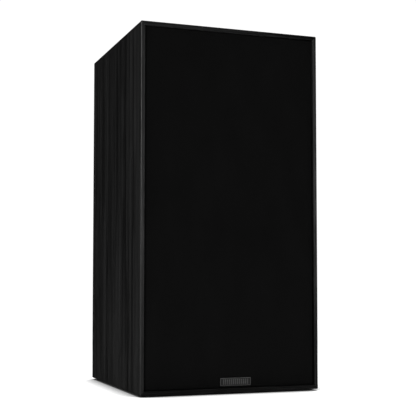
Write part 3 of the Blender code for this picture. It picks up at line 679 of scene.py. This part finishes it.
def build_cabinet():
    weight_bevel = {"width": EDGE_RADIUS, "segments": 4, "limit_method": "WEIGHT", "harden_normals": True}
    shell = evaluated(cabinet_shell(), ("BEVEL", weight_bevel))
    # Two copies of one vinyl. Besides the grain's direction, they differ in painted light: the upright copy,
    # on the sides and the back, is painted lighter (0.0155) than the level copy on the top and the bottom
    # (0.0095), and the rebate factor paints shade (0.2) into the side walls' rebates and light (1.8) into
    # those of the top and the bottom.
    upright = black_ash("black_ash_upright", 2, 0.0155, 0.7, 0.2)
    level = black_ash("black_ash_level", 0, 0.0095, 0.18, 1.8)
    walls = {"left_side": upright, "right_side": upright, "top": level, "bottom": level}
    for side, look in walls.items():
        stand_in(f"{side}_panel", mitred(shell, side), look)
    rear = packed_mesh("rear_panel")
    rear.shade_flat()
    stand_in("rear_panel", rear, upright)


def build_baffle():
    """The board behind the grille, with its rebates and cut-outs turned fine."""
    size = baffle_high - baffle_low
    outline = rounded_rectangle(size.x, size.z, 1 * MM, 0, middle_z)
    board = lofted("baffle_board", [(outline, baffle_low.y), (outline, baffle_high.y)])

    def stepped(rebate, step, hole, end):
        return [(0, -1), (rebate, -1), (rebate, step), (hole, step), (hole, end), (0, end)]

    cutters = [
        spun("woofer_hole", stepped(89.5, 4.9, 75, 20), centre_of("woofer_basket")),
        spun("tweeter_hole", stepped(52.4, 4.2, 38, 20), centre_of("tweeter_faceplate")),
    ]
    for node in SOCKETS:
        cutters.append(spun(node, stepped(7.3, 1.7, 5.9, 13.4), centre_of(node), SMALL))
    for node in WOOFER_SCREWS + TWEETER_SCREWS:
        cutters.append(spun(node, tube(0, 2, 1.5, 16), centre_of(node), 16, first=HOLE_TURN))
    stand_in("front_baffle", carved(board, *cutters), satin_paint())


def build_feet(black):
    """Rubber pads: a rounded edge below and a shallow dish in the middle."""
    dish, rim = 0.25, 0.5
    for node in FEET:
        low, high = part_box(node)
        radius, thick = (high.x - low.x) / 2 / MM, (high.z - low.z) / MM
        profile = [(0, dish), (radius - 3, dish), (radius - 2.4, 0), (radius - rim, 0), (radius, rim)]
        profile += [(radius, thick), (0, thick)]
        pad = spun(node, profile, (0, 0, 0), SMALL, soft=0.3)
        stand_in(node, stood(pad, foot_of(node)), black)


# Grille


def build_grille(plastic):
    stand_in("grille_frame", softened(packed_mesh("grille_frame"), 0.5 * MM), plastic)
    cloth = stand_in("grille_cloth", cloth_mesh(), acoustic_cloth())
    stand_in("badge_plate", badge_mesh(), badge_metal())


CLOTH = 0.5 * MM  # thickness


def cloth_mesh():
    """Cloth drawn tight over the frame: a hair hollow across the openings, and round at the edges."""
    low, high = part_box("grille_cloth")
    spare = 1.1 * MM  # so that the cloth's edges come close to the lips
    width, height = high.x - low.x + spare, high.z - low.z + spare
    corner, roll, sag, steps = 3.0 * MM, 1.0 * MM, 0.35 * MM, 6
    sections = []

    def ring(inset, y):
        radius = max(corner - inset, 0.4 * MM)
        outline = rounded_rectangle(width - 2 * inset, height - 2 * inset, radius, 0, middle_z)
        sections.append((outline, y))

    def edge(step, under):
        angle = pi / 2 * step / steps
        radius = roll - under
        ring(under + radius * (1 - sin(angle)), low.y + under + radius * (1 - cos(angle)))

    hollow = [(100, 1.0), (70, 0.97), (50, 0.86), (40, 0.7), (30, 0.4), (24, 0.15), (18, 0.0), (8, 0.0)]
    for inset, share in hollow:
        ring(inset * MM, low.y + share * sag)
    for step in range(steps + 1):
        edge(step, 0)
    ring(0, high.y)
    ring(CLOTH, high.y)
    for step in range(steps, -1, -1):
        edge(step, CLOTH)
    for inset, share in reversed(hollow):
        ring(inset * MM, low.y + CLOTH + share * sag)
    return lofted("grille_cloth", sections)


def badge_mesh():
    """A plain plate with a raised rim and a row of upright ribs."""
    low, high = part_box("badge_plate")
    x, _, z = middle_of("badge_plate")
    width, height = high.x - low.x, high.z - low.z
    front, back, rim, floor = low.y, high.y, 0.7 * MM, 0.25 * MM

    def section(inset, y):
        radius = max(0.8 * MM - inset, 0.1 * MM)
        return rounded_rectangle(width - 2 * inset, height - 2 * inset, radius, x, z), y

    steps = [(0, back), (0, front + 0.25 * MM), (0.08 * MM, front + 0.08 * MM)]
    steps += [(0.25 * MM, front), (rim, front), (rim + 0.1 * MM, front + floor)]
    plate = lofted("badge", [section(*step) for step in steps])
    ribs = bmesh.new()
    count, pitch, half, reach = 13, 2.6 * MM, 0.65 * MM, height / 2 - 1.5 * MM
    for i in range(count):
        rib_x = x + (i - (count - 1) / 2) * pitch
        near, far = front + 0.05 * MM, front + 2 * floor
        bar(ribs, (rib_x - half, near, z - reach), (rib_x + half, far, z + reach))
    return carved(plate, to_mesh(ribs, "ribs"), operation="UNION")


def build_sockets(black):
    profile = [(3.3, 0.3), (7, 0.3), (7, 1.4), (5.6, 1.4), (5.6, 13), (0, 13), (0, 11.5), (3.3, 11.5)]
    for node in SOCKETS:
        stand_in(node, spun(node, profile, centre_of(node), SMALL, soft=0.4), black)


# Screws


def countersink(centre, backwards=1):
    """A cutter for a screw's clearance hole and the seat of its head."""
    profile = [(0, -1), (3.7, -1), (3.7, 0.6), (2, 2.6), (2, 7), (0, 7)]
    return spun("countersink", profile, centre, 32, backwards=backwards, first=HOLE_TURN)


def screw_mesh():
    """A countersunk screw with a cross recess, about the origin, its head towards -Y."""
    thread = repeated([(1.25, 0), (1.6, 0.35), (1.25, 0.7)], 9, 3.6, 1.1)
    profile = [(0, 0.05), (2, 0.1), (3.1, 0.3), (3.3, 0.5), (1.6, 2.4), *thread, (1.25, 13.6), (0, 15)]
    long, wide = 2.0 * MM, 0.42 * MM
    arms = [
        block("slot", (-x, -1 * MM, -z), (x, 1.5 * MM, z)) for x, z in ((long, wide), (wide, long))
    ]
    return carved(spun("screw", profile, (0, 0, 0), SMALL), *arms)


def build_screws(look):
    twist = 0.7  # radians from one screw's recess to the next one's
    front, back = Matrix.Identity(4), Matrix.Rotation(pi, 4, "Z")
    front_screws = WOOFER_SCREWS + TWEETER_SCREWS
    for nodes, plane, facing in ((front_screws, baffle_low.y, front), (CUP_SCREWS, flange_back, back)):
        for i, node in enumerate(nodes):
            mesh = screw_mesh()
            place = Matrix.Translation(axis_at(node, plane))
            mesh.transform(place @ facing @ Matrix.Rotation(twist * i, 4, "Y"))
            stand_in(node, mesh, look)


# Woofer

WOOFER_SECTORS = 24
SECTOR_SIDES = 6


def sectors(node, profile, centre, look):
    """A flexible ring in sectors between the basket and the cone, each spun over its own share of the
    circle.
    """
    step = 360 / WOOFER_SECTORS
    for i in range(WOOFER_SECTORS):
        name = f"{node}_sector_{i + 1:02d}"
        mesh = spun(name, profile, centre, SECTOR_SIDES, first=(i - 0.5) * step, sweep=step)
        mesh.materials.append(look)
        made = linked(name, mesh)
        if i == 0:
            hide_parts(node)
        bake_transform(made)


def surround_profile():
    """A half roll with a lip on the basket's step and one on the cone."""
    roll, radius, half, level = 67.5, 6.0, 0.4, 0.8
    over = arc(roll, level, radius + half, 180, 0, 16)
    under = arc(roll, level, radius - half, 0, 180, 16)
    outer_lip, inner_lip = 77.4, [(60.5, 3.4), (58.2, 5.9), (57.7, 5.3), (60.3, 2.2)]
    return [*over, (outer_lip, level - half), (outer_lip, level + half), *under, *inner_lip]


def spider_profile():
    """Five corrugations from the coil former to the basket's ledge."""
    inner, outer, waves, height, thick, level = 16.7, 51.0, 5, 1.0, 0.4, 44.6
    steps = 10 * waves
    front = []
    for i in range(steps + 1):
        radius = inner + (outer - inner) * i / steps
        fade = min(1.0, 5 * (steps - i) / steps, 5 * i / steps)
        front.append((radius, level - fade * height * sin(2 * pi * waves * i / steps)))
    return front + [(radius, depth + thick) for radius, depth in reversed(front)]


def basket_mesh(centre):
    """Pressed steel: a flat flange, a conical wall with six windows, and a seat for the motor."""
    profile = [
        (78, 0), (89, 0), (89, 4.7), (74.4, 4.7), (73.5, 14), (57.5, 49), (47, 59), (47, 65), (20, 65),
        (20, 62.5), (44.5, 62.5), (44.5, 57.7), (53.8, 48.5), (47.5, 48.5), (47.5, 46), (56, 46),
        (71, 13), (71.5, 1.5), (78, 1.5),
    ]
    windows, half_width, near, far = 6, 20, centre.y + 20 * MM, centre.y + 43 * MM
    cutters = []
    for i in range(windows):
        outline = []
        for radius, side in ((50, -1), (82, -1), (82, 1), (50, 1)):
            angle = radians(360 / windows * i + half_width * side)
            x, z = radius * MM * cos(angle), radius * MM * sin(angle)
            outline.append((centre.x + x, centre.z + z))
        cutters.append(lofted("window", [(outline, near), (outline, far)]))
    cutters += [countersink(centre_of(node)) for node in WOOFER_SCREWS]
    return carved(spun("basket", profile, centre, soft=0.8), *cutters)


def build_woofer(looks):
    centre = centre_of("woofer_basket")
    stand_in("woofer_basket", basket_mesh(centre), looks["painted_steel"])
    sectors("woofer_surround", surround_profile(), centre, looks["rubber"])
    sectors("woofer_spider", spider_profile(), centre, looks["spider"])
    cone = [
        (16.7, 38), (22, 34.2), (28, 29.2), (34, 24.5), (41, 19.1), (48, 14), (54.5, 9.2), (60.6, 4.6),
        (61, 5.2), (54.9, 10), (48.6, 15), (41.6, 20.2), (34.6, 25.6), (28.6, 30.5), (22.6, 35.4),
        (16.7, 39.6),
    ]
    cap = (21.0, 8.0, 34.3, 14)
    cap_skin = [*dome(*cap), *reversed(dome(*cap, inset=0.6))]
    stand_in("woofer_cone", spun("cone", cone, centre), looks["paper"])
    stand_in("woofer_dust_cap", spun("dust_cap", cap_skin, centre, MEDIUM), looks["paper"])
    coil = [(15.9, 36.5), (16.3, 36.5), (16.3, 60.3), (16.8, 60.3), (16.8, 76.3), (16.3, 76.3), (16.3, 77)]
    coil.append((15.9, 77))
    stand_in("woofer_voice_coil", spun("coil", coil, centre, SMALL), looks["fine_wire"])
    motor = {
        "woofer_top_plate": (tube(17.5, 37, 65.3, 71.3), "zinc"),
        "woofer_magnet": (tube(22, 40, 71.6, 87.6), "ferrite"),
        "woofer_yoke": ([(5, 64.5), (15.2, 64.5), (15.2, 87.9), (37, 87.9), (37, 93.9), (5, 93.9)], "zinc"),
    }
    for node, (profile, look) in motor.items():
        stand_in(node, spun(node, profile, centre, soft=0.8), looks[look])


# Tweeter


def build_tweeter(looks):
    centre = centre_of("tweeter_faceplate")
    horn = [(16 + 20 * t, 4.8 * (1 - t) ** 1.9) for t in (0, 0.08, 0.17, 0.28, 0.4, 0.55, 0.7, 0.85)]
    plate = [*horn, (36.5, 0.05), (40, 0), (51.4, 0), (52, 0.6), (52, 4), (37, 4), (37, 6.2), (19, 6.2)]
    whole = spun("faceplate", [*plate, (16, 5.6)], centre)
    cutters = [countersink(centre_of(node)) for node in TWEETER_SCREWS]
    stand_in("tweeter_faceplate", carved(whole, *cutters), looks["plastic"])
    rim, height, crown = 12.4, 6.0, 2.0
    silk = [*dome(rim, height, crown + height, 10), *arc(14.2, 8.1, 1.6, 160, 20, 8)]
    inside = [(max(radius - 0.15, 0), depth + 0.3) for radius, depth in reversed(silk)]
    silk += [(18, 8), (18, 8.3), *inside]
    stand_in("tweeter_dome", spun("dome", silk, centre, MEDIUM), looks["silk"])
    motor = {
        "tweeter_voice_coil": (tube(12.6, 13.3, 8.9, 13.4), "fine_wire"),
        "tweeter_top_plate": (tube(13.8, 36, 9.1, 12.1), "zinc"),
        "tweeter_magnet": (tube(18, 32, 12.4, 21.4), "ferrite"),
        "tweeter_yoke": ([(4, 9.3), (12.1, 9.3), (12.1, 21.7), (30, 21.7), (30, 25.7), (4, 25.7)], "zinc"),
        "tweeter_rear_chamber": ([(0, 46), (28, 46), (28, 26), (26, 26), (26, 44), (0, 44)], "plastic"),
    }
    for node, (profile, look) in motor.items():
        stand_in(node, spun(node, profile, centre, MEDIUM, soft=0.5), looks[look])


# Port and terminals


def build_port(plastic):
    """A tube with a round flare behind and a small one inside; depth runs forwards from the flange."""
    bore, flare, thick, length, flange, rim = 26.0, 11.0, 2.6, 122.0, 45.0, 2.5
    mouth = arc(bore + flare, flare, flare, 90, 180, 12)
    back = arc(bore + flare, flare, flare - thick, 180, 90, 12)
    inner_end = [(0, 8), (0.7, 4.5), (2.2, 1.8), (5, 0), (7, 0.5), (6.6, 1.6), (4.4, 3.6), (thick, 8)]
    end = [(bore + out, length - up) for out, up in inner_end]
    edge = [(-1, rim), (0, rim - 0.3), (1, rim / 2), (0.6, 0.35), (-0.4, 0)]
    edge = [(flange + out, depth) for out, depth in edge]
    centre = axis_at("port_tube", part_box("port_tube")[1].y)
    stand_in("port_tube", spun("port", [*mouth, *end, *back, *edge], centre, backwards=-1), plastic)


def cup_mesh():
    """A square flange with a tapered well: its outlines run from behind, over the flange and down inside."""
    flange, body, mouth, floor = 92, 72, 65.8, 58.2
    back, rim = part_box("terminal_cup")[0].y, rear_high.y + GAP
    z = middle_of("terminal_cup").z
    sections = []
    for size, radius, plane, offset in (
        (body - 1.6, 5.2, back, 0), (body, 6, back, 0.8), (body, 6, rim, 0), (flange, 9, rim, 0),
        (flange, 9, flange_back, -0.7), (flange - 0.4, 8.8, flange_back, -0.2),
        (flange - 1.4, 8.3, flange_back, 0), (mouth + 1.6, 6.8, flange_back, 0),
        (mouth + 0.5, 6.25, flange_back, -0.25), (mouth, 6, flange_back, -0.8),
        (floor + 1.4, 4.7, well_floor, 1.4), (floor + 0.5, 4.2, well_floor, 0.45),
        (floor - 1.4, 3.4, well_floor, 0),
    ):
        outline = rounded_rectangle(size * MM, size * MM, radius * MM, 0, z, steps=8)
        sections.append((outline, plane + offset * MM))
    cutters = [countersink(axis_at(node, flange_back), backwards=-1) for node in CUP_SCREWS]
    for pole in POLES:
        hole = axis_at(f"{pole}_post_stud", well_floor)
        cutters.append(spun("shank", tube(0, 2.4, -4, 4), hole, COARSE))
    return carved(lofted("cup", sections), *cutters)


def post_meshes(pole):
    """The stud, the clamping collar and the fluted cap; depth runs backwards from the floor of the well."""
    centre = axis_at(f"{pole}_post_stud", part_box(f"{pole}_post_stud")[0].y + 13 * MM)
    thread = repeated([(2.55, 0), (3.0, 0.4), (3.0, 0.55), (2.55, 0.95)], 17, 4.0, 1.0)
    stud = [
        (0, -13), (1.7, -13), (2, -12.7), (2, 0.3), (5.8, 0.3), (6.2, 0.7), (6.2, 2.9), (5.9, 3.2),
        (2.6, 3.2), *thread, (2.8, 21.4), (2.8, 21.8), (2.6, 22), (2.2, 22), (2.05, 21.8), (2.05, 10),
        (0, 10),
    ]
    hole = spun("wire_hole", tube(0, 1.4, -10, 10), (0, 0, 0), COARSE)
    hole = stood(hole, centre + Vector((0, 6 * MM, 0)))
    collar = [(3.4, 3.5), (6, 3.5), (6, 5.5), (4.8, 5.5), (4.8, 12), (3.4, 12)]
    cap = [
        (5.3, 5.8), (6.1, 5.8), (6.6, 6.3), (6.6, 20.6), (6.5, 21.4), (6.1, 22.1), (5.4, 22.45),
        (4.4, 22.5), (3.7, 22.5), (3.4, 22.2), (3.4, 12.3), (5.1, 12.3), (5.1, 6.0),
    ]
    flutes, deep = 20, 0.4

    def flute(radius, depth, angle):
        """The grip's radius, with shallow flutes."""
        if radius < 6.55 or not 6.2 < depth < 20.7:
            return radius
        return radius - deep * (0.5 + 0.5 * cos(flutes * angle)) ** 2

    return {
        "stud": carved(spun("stud", stud, centre, SMALL), hole),
        "collar": spun("collar", collar, centre, SMALL, soft=0.3),
        "cap": spun("cap", cap, centre, 8 * flutes, shape=flute),
    }


def build_terminals(looks):
    stand_in("terminal_cup", cup_mesh(), looks["plastic"])
    for pole in POLES:
        made = post_meshes(pole)
        for part, look in (("stud", "gold"), ("collar", "gold"), ("cap", pole)):
            stand_in(f"{pole}_post_{part}", made[part], looks[look])
        foot = axis_at(f"{pole}_post_stud", well_floor)
        ring = spun("ring", tube(6.8, 8.8, 0.02, 0.7), foot, MEDIUM, soft=0.25)
        washer = piece(f"{pole}_colour_ring", ring, looks[pole], f"{pole}_post_stud")
        long, thin, back, front = 2.6 * MM, 0.55 * MM, 0.02 * MM, 0.5 * MM
        middle = foot + Vector((0, 0, 17 * MM))
        strokes = [
            block("stroke", middle + Vector((-x, back, -z)), middle + Vector((x, front, z)))
            for x, z in ((long, thin), (thin, long))
        ]
        shape = strokes[0] if pole == "negative" else carved(*strokes, operation="UNION")
        piece(f"{pole}_polarity_mark", softened(shape, 0.12 * MM), looks["marking"], "terminal_cup")


# Inside


def build_crossover(looks):
    stand_in("crossover_board", softened(packed_mesh("crossover_board"), 0.2 * MM), looks["board"])
    low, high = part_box("woofer_inductor")
    centre = axis_at("woofer_inductor", high.y)
    length, cheek, turns = (high.y - low.y) / MM, 1.2, 14
    start = cheek + 0.1
    pitch = (length - 2 * start) / turns
    turn = [(15.0, 0.1 * pitch), (15.4, 0.5 * pitch), (15.0, 0.9 * pitch)]
    wound = [(7.5, start), *repeated(turn, turns, start, pitch), (7.5, length - start)]
    stand_in("woofer_inductor", spun("winding", wound, centre, MEDIUM, backwards=-1), looks["wire"])
    flanges = mirrored([(6, 0), (16, 0), (16, cheek), (7.4, cheek)], length)
    bobbin = spun("bobbin", flanges, centre, MEDIUM, backwards=-1, soft=0.3)
    piece("woofer_inductor_bobbin", bobbin, looks["plastic"], "woofer_inductor")
    low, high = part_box("tweeter_capacitor")
    radius, length = (high.x - low.x) / 2 / MM, (high.z - low.z) / MM
    body = mirrored([(0, 0.5), (radius - 2, 0.5), (radius - 1.4, 0), (radius, 0.9)], length)
    mesh = spun("capacitor", body, (0, 0, 0), MEDIUM, soft=0.4)
    stand_in("tweeter_capacitor", stood(mesh, foot_of("tweeter_capacitor")), looks["capacitor"])


def smooth_route(points, per_span=10):
    """Points along a smooth curve through a route's own points."""
    route = [Vector(p) for p in points]
    ends = [2 * route[0] - route[1], *route, 2 * route[-1] - route[-2]]
    curve = []
    for a, b, c, d in zip(ends, ends[1:], ends[2:], ends[3:]):
        for step in range(per_span):
            t = step / per_span
            bend = t * t * (2 * a - 5 * b + 4 * c - d) + t**3 * (3 * b - a - 3 * c + d)
            curve.append(0.5 * (2 * b + t * (c - a) + bend))
    return [*curve, route[-1]]


def build_pair(node, points, reach, looks):
    """Two wires twisted round a route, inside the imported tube."""
    route = smooth_route(points)
    twist = 22 * MM  # length of a turn
    for wire, (name, look) in enumerate(looks.items()):
        data = bpy.data.curves.new(f"{node}_{name}", "CURVE")
        data.dimensions = "3D"
        data.bevel_depth = reach * 0.46
        data.bevel_resolution = 3
        data.use_fill_caps = True
        data.materials.append(look)
        spline = data.splines.new("POLY")
        spline.points.add(len(route) - 1)
        travelled = 0.0
        for i, here in enumerate(route):
            before = route[max(i - 1, 0)]
            ahead = (route[min(i + 1, len(route) - 1)] - before).normalized()
            aside = Vector((0, 0, 1)) if abs(ahead.z) < 0.9 else Vector((1, 0, 0))
            across = ahead.cross(aside).normalized()
            travelled += (here - before).length
            angle = 2 * pi * travelled / twist + pi * wire
            offset = across * cos(angle) + across.cross(ahead) * sin(angle)
            spline.points[i].co = (*(here + offset * reach * 0.5), 1)
        made = linked(f"{node}_{name}", data)
        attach(made, "cabinet")
        if wire == 0:
            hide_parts(node)


def build_leads(looks):
    """Each driver's pair of wires, from the board to the rear of the driver."""
    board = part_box("crossover_board")[0].y - GAP, middle_of("crossover_board").z
    brace = board[0], middle_of("window_brace").z
    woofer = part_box("woofer_basket")[1].y + GAP, middle_of("woofer_basket").z
    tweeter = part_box("tweeter_top_plate")[1].y + GAP, middle_of("tweeter_faceplate").z
    woofer_stops = [
        (board, 24, 0, -26), (board, 25, -24, -26), (board, 34, -52, -22),
        (woofer, 40, 46, -44), (woofer, 33, 16, -32), (woofer, 31.2, 0, -31.2),
    ]
    tweeter_stops = [
        (board, -6, 0, 26), (board, -10, -22, 32), (board, -44, -30, 84),
        (brace, -76, -34, -16), (brace, -76, -38, 14), (brace, -66, -74, 48),
        (tweeter, -42, 30, -6), (tweeter, -34.3, 10, 0), (tweeter, -34.3, 0, 0),
    ]
    for node, reach, stops in (("woofer_lead", 1.6, woofer_stops), ("tweeter_lead", 1.2, tweeter_stops)):
        points = [(x * MM, y + back * MM, z + up * MM) for (y, z), x, back, up in stops]
        build_pair(node, points, reach * MM, looks)


def build_wads(look):
    """Loose fibre: a crowned block with lumps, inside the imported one."""
    deep = 5 * MM  # of the lumps
    for node in ("upper_damping_wad", "lower_damping_wad"):
        low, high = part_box(node)
        middle, half = (low + high) / 2, (high - low) / 2
        bm = bmesh.new()
        bmesh.ops.create_cube(bm, size=2)
        bmesh.ops.subdivide_edges(bm, edges=bm.edges, cuts=13, use_grid_fill=True)
        for vert in bm.verts:
            on_ball = vert.co.normalized()
            place = vert.co.lerp(on_ball * 1.15, 0.35) * half  # a component at a time
            place += on_ball * (noise.fractal(place * 38, 0.8, 2.1, 4) * deep - deep)
            vert.co = middle + Vector([max(-h, min(h, p)) for h, p in zip(half, place)])
        mesh = evaluated(to_mesh(bm, node), ("SUBSURF", {"levels": 1, "render_levels": 1}))
        made = stand_in(node, mesh, look)


# Camera, light and stage


def build_camera():
    """The photo's viewpoint, as fitted to the outline of the cabinet."""
    pitch, heading = 93.225, -19.96
    data = bpy.data.cameras.new("camera")
    data.lens = 84.5
    data.sensor_width = 36
    data.shift_y = 0.05
    camera = linked("camera", data)
    camera.location = (-0.4308, -1.2239, 0.1323)
    camera.rotation_euler = (radians(pitch), 0, radians(heading))
    bpy.context.scene.camera = camera


def add_softbox(name, place, width, height, power):
    """A lamp that faces the middle of the object."""
    data = bpy.data.lights.new(name, "AREA")
    data.shape = "RECTANGLE"
    data.size = width
    data.size_y = height
    data.energy = power
    light = linked(name, data)
    light.location = place
    aim = Vector((0, 0, 0.22)) - Vector(place)
    light.rotation_euler = aim.to_track_quat("-Z", "Y").to_euler()
    light.visible_camera = False


def build_stage():
    """A white sweep: the floor glows, with a painted pool of light that is brightest in the middle and
    painted contact shade where things stand close to it.
    """
    bm = bmesh.new()
    bmesh.ops.create_grid(bm, x_segments=1, y_segments=1, size=12)
    floor = linked("floor", to_mesh(bm, "floor"))
    paper = Finish("white_paper", 0.3, 0.9, specular=0.0)
    distance = paper.add("ShaderNodeVectorMath", {0: paper.place()}, operation="LENGTH").outputs["Value"]
    open_share = paper.add("ShaderNodeAmbientOcclusion", {"Distance": 0.06}).outputs["AO"]
    # Painted contact shade: ambient occlusion dims the floor near things.
    painted_contact_shadow = paper.spread(open_share, 0.42, 0.9)
    # Painted pool of light: the floor is brighter towards the middle.
    painted_floor_glow = paper.times(paper.spread(distance, 0.25, 0.9, 1.7, 1.05), painted_contact_shadow)
    paper.set("Emission Color", (1, 1, 1, 1))
    paper.links.new(painted_floor_glow, paper.shader.inputs["Emission Strength"])
    floor.data.materials.append(paper.material)
    floor.visible_glossy = False


def build_light():
    """A dim white world, a white backdrop that only the camera sees, and soft lamps."""
    world = bpy.data.worlds.new("studio")
    bpy.context.scene.world = world
    world.use_nodes = True
    nodes, links = world.node_tree.nodes, world.node_tree.links
    mix = nodes.new("ShaderNodeMixShader")
    links.new(nodes.new("ShaderNodeLightPath").outputs["Is Camera Ray"], mix.inputs[0])
    backgrounds = (nodes["Background"], nodes.new("ShaderNodeBackground"))
    for i, (background, strength) in enumerate(zip(backgrounds, (0.008, 1.05))):
        background.inputs["Color"].default_value = (1, 1, 1, 1)
        background.inputs["Strength"].default_value = strength
        links.new(background.outputs[0], mix.inputs[i + 1])
    links.new(mix.outputs[0], nodes["World Output"].inputs[0])
    add_softbox("key", (-1.3, -1.3, 0.75), 0.3, 0.8, 14)
    add_softbox("near_edge", (0.3, -1.55, 0.6), 0.16, 0.5, 0.7)
    add_softbox("far_edge", (0.85, -1.55, 0.3), 0.14, 0.6, 1.2)
    add_softbox("overhead", (0.2, 0.1, 1.9), 1.4, 1.4, 14)
    add_softbox("rear_fill", (1.4, 1.6, 0.7), 1.6, 1.6, 13)
    bpy.context.scene.view_settings.view_transform = "Standard"


def main():
    black = rubber()
    plastic = moulded("textured_plastic", 0.010, 0.016, 0.42)
    looks = {
        "rubber": black,
        "plastic": plastic,
        "painted_steel": moulded("painted_steel", 0.013, 0.020, 0.40, 0.03),
        "paper": coated_paper(),
        "spider": woven("spider_cloth", (0.40, 0.25, 0.07), (0.62, 0.44, 0.16), 0.8 * MM, 0.8, 0.15 * MM),
        "silk": woven("coated_silk", 0.010, (0.020, 0.020, 0.023), 0.35 * MM, 0.45, 0.02 * MM),
        "zinc": brushed("zinc_plate", (0.42, 0.43, 0.45), (0.58, 0.59, 0.60), 0.34),
        "ferrite": moulded("ferrite", 0.035, (0.065, 0.065, 0.067), 0.6, 0.08),
        "screw": brushed("black_zinc", 0.05, 0.10, 0.36),
        "fine_wire": windings("fine_wire", 0.25 * MM),
        "wire": windings("coil_wire", 1.0 * MM),
        "gold": plated("gold_plate", (0.72, 0.47, 0.16), (0.92, 0.68, 0.30), 0.2),
        "positive": moulded("red_cap", (0.30, 0.006, 0.006), (0.42, 0.012, 0.010), 0.28, 0.02),
        "negative": moulded("black_cap", 0.009, 0.014, 0.28, 0.02),
        "marking": moulded("pale_marking", 0.42, 0.55, 0.5, 0.02),
        "board": circuit_board(),
        "capacitor": moulded("capacitor_wrap", (0.46, 0.28, 0.03), (0.60, 0.40, 0.05), 0.35, 0.03),
    }
    build_camera()
    build_cabinet()
    build_baffle()
    stand_in("window_brace", softened(packed_mesh("window_brace"), 0.4 * MM), raw_board())
    build_feet(black)
    build_grille(plastic)
    build_sockets(black)
    build_screws(looks["screw"])
    build_woofer(looks)
    build_tweeter(looks)
    build_port(plastic)
    build_terminals(looks)
    build_crossover(looks)
    red = moulded("red_insulation", (0.30, 0.01, 0.01), (0.42, 0.02, 0.02), 0.4, 0.02)
    build_leads({"red": red, "black": moulded("black_insulation", 0.010, 0.018, 0.4, 0.02)})
    build_wads(wadding())
    build_stage()
    build_light()


main()
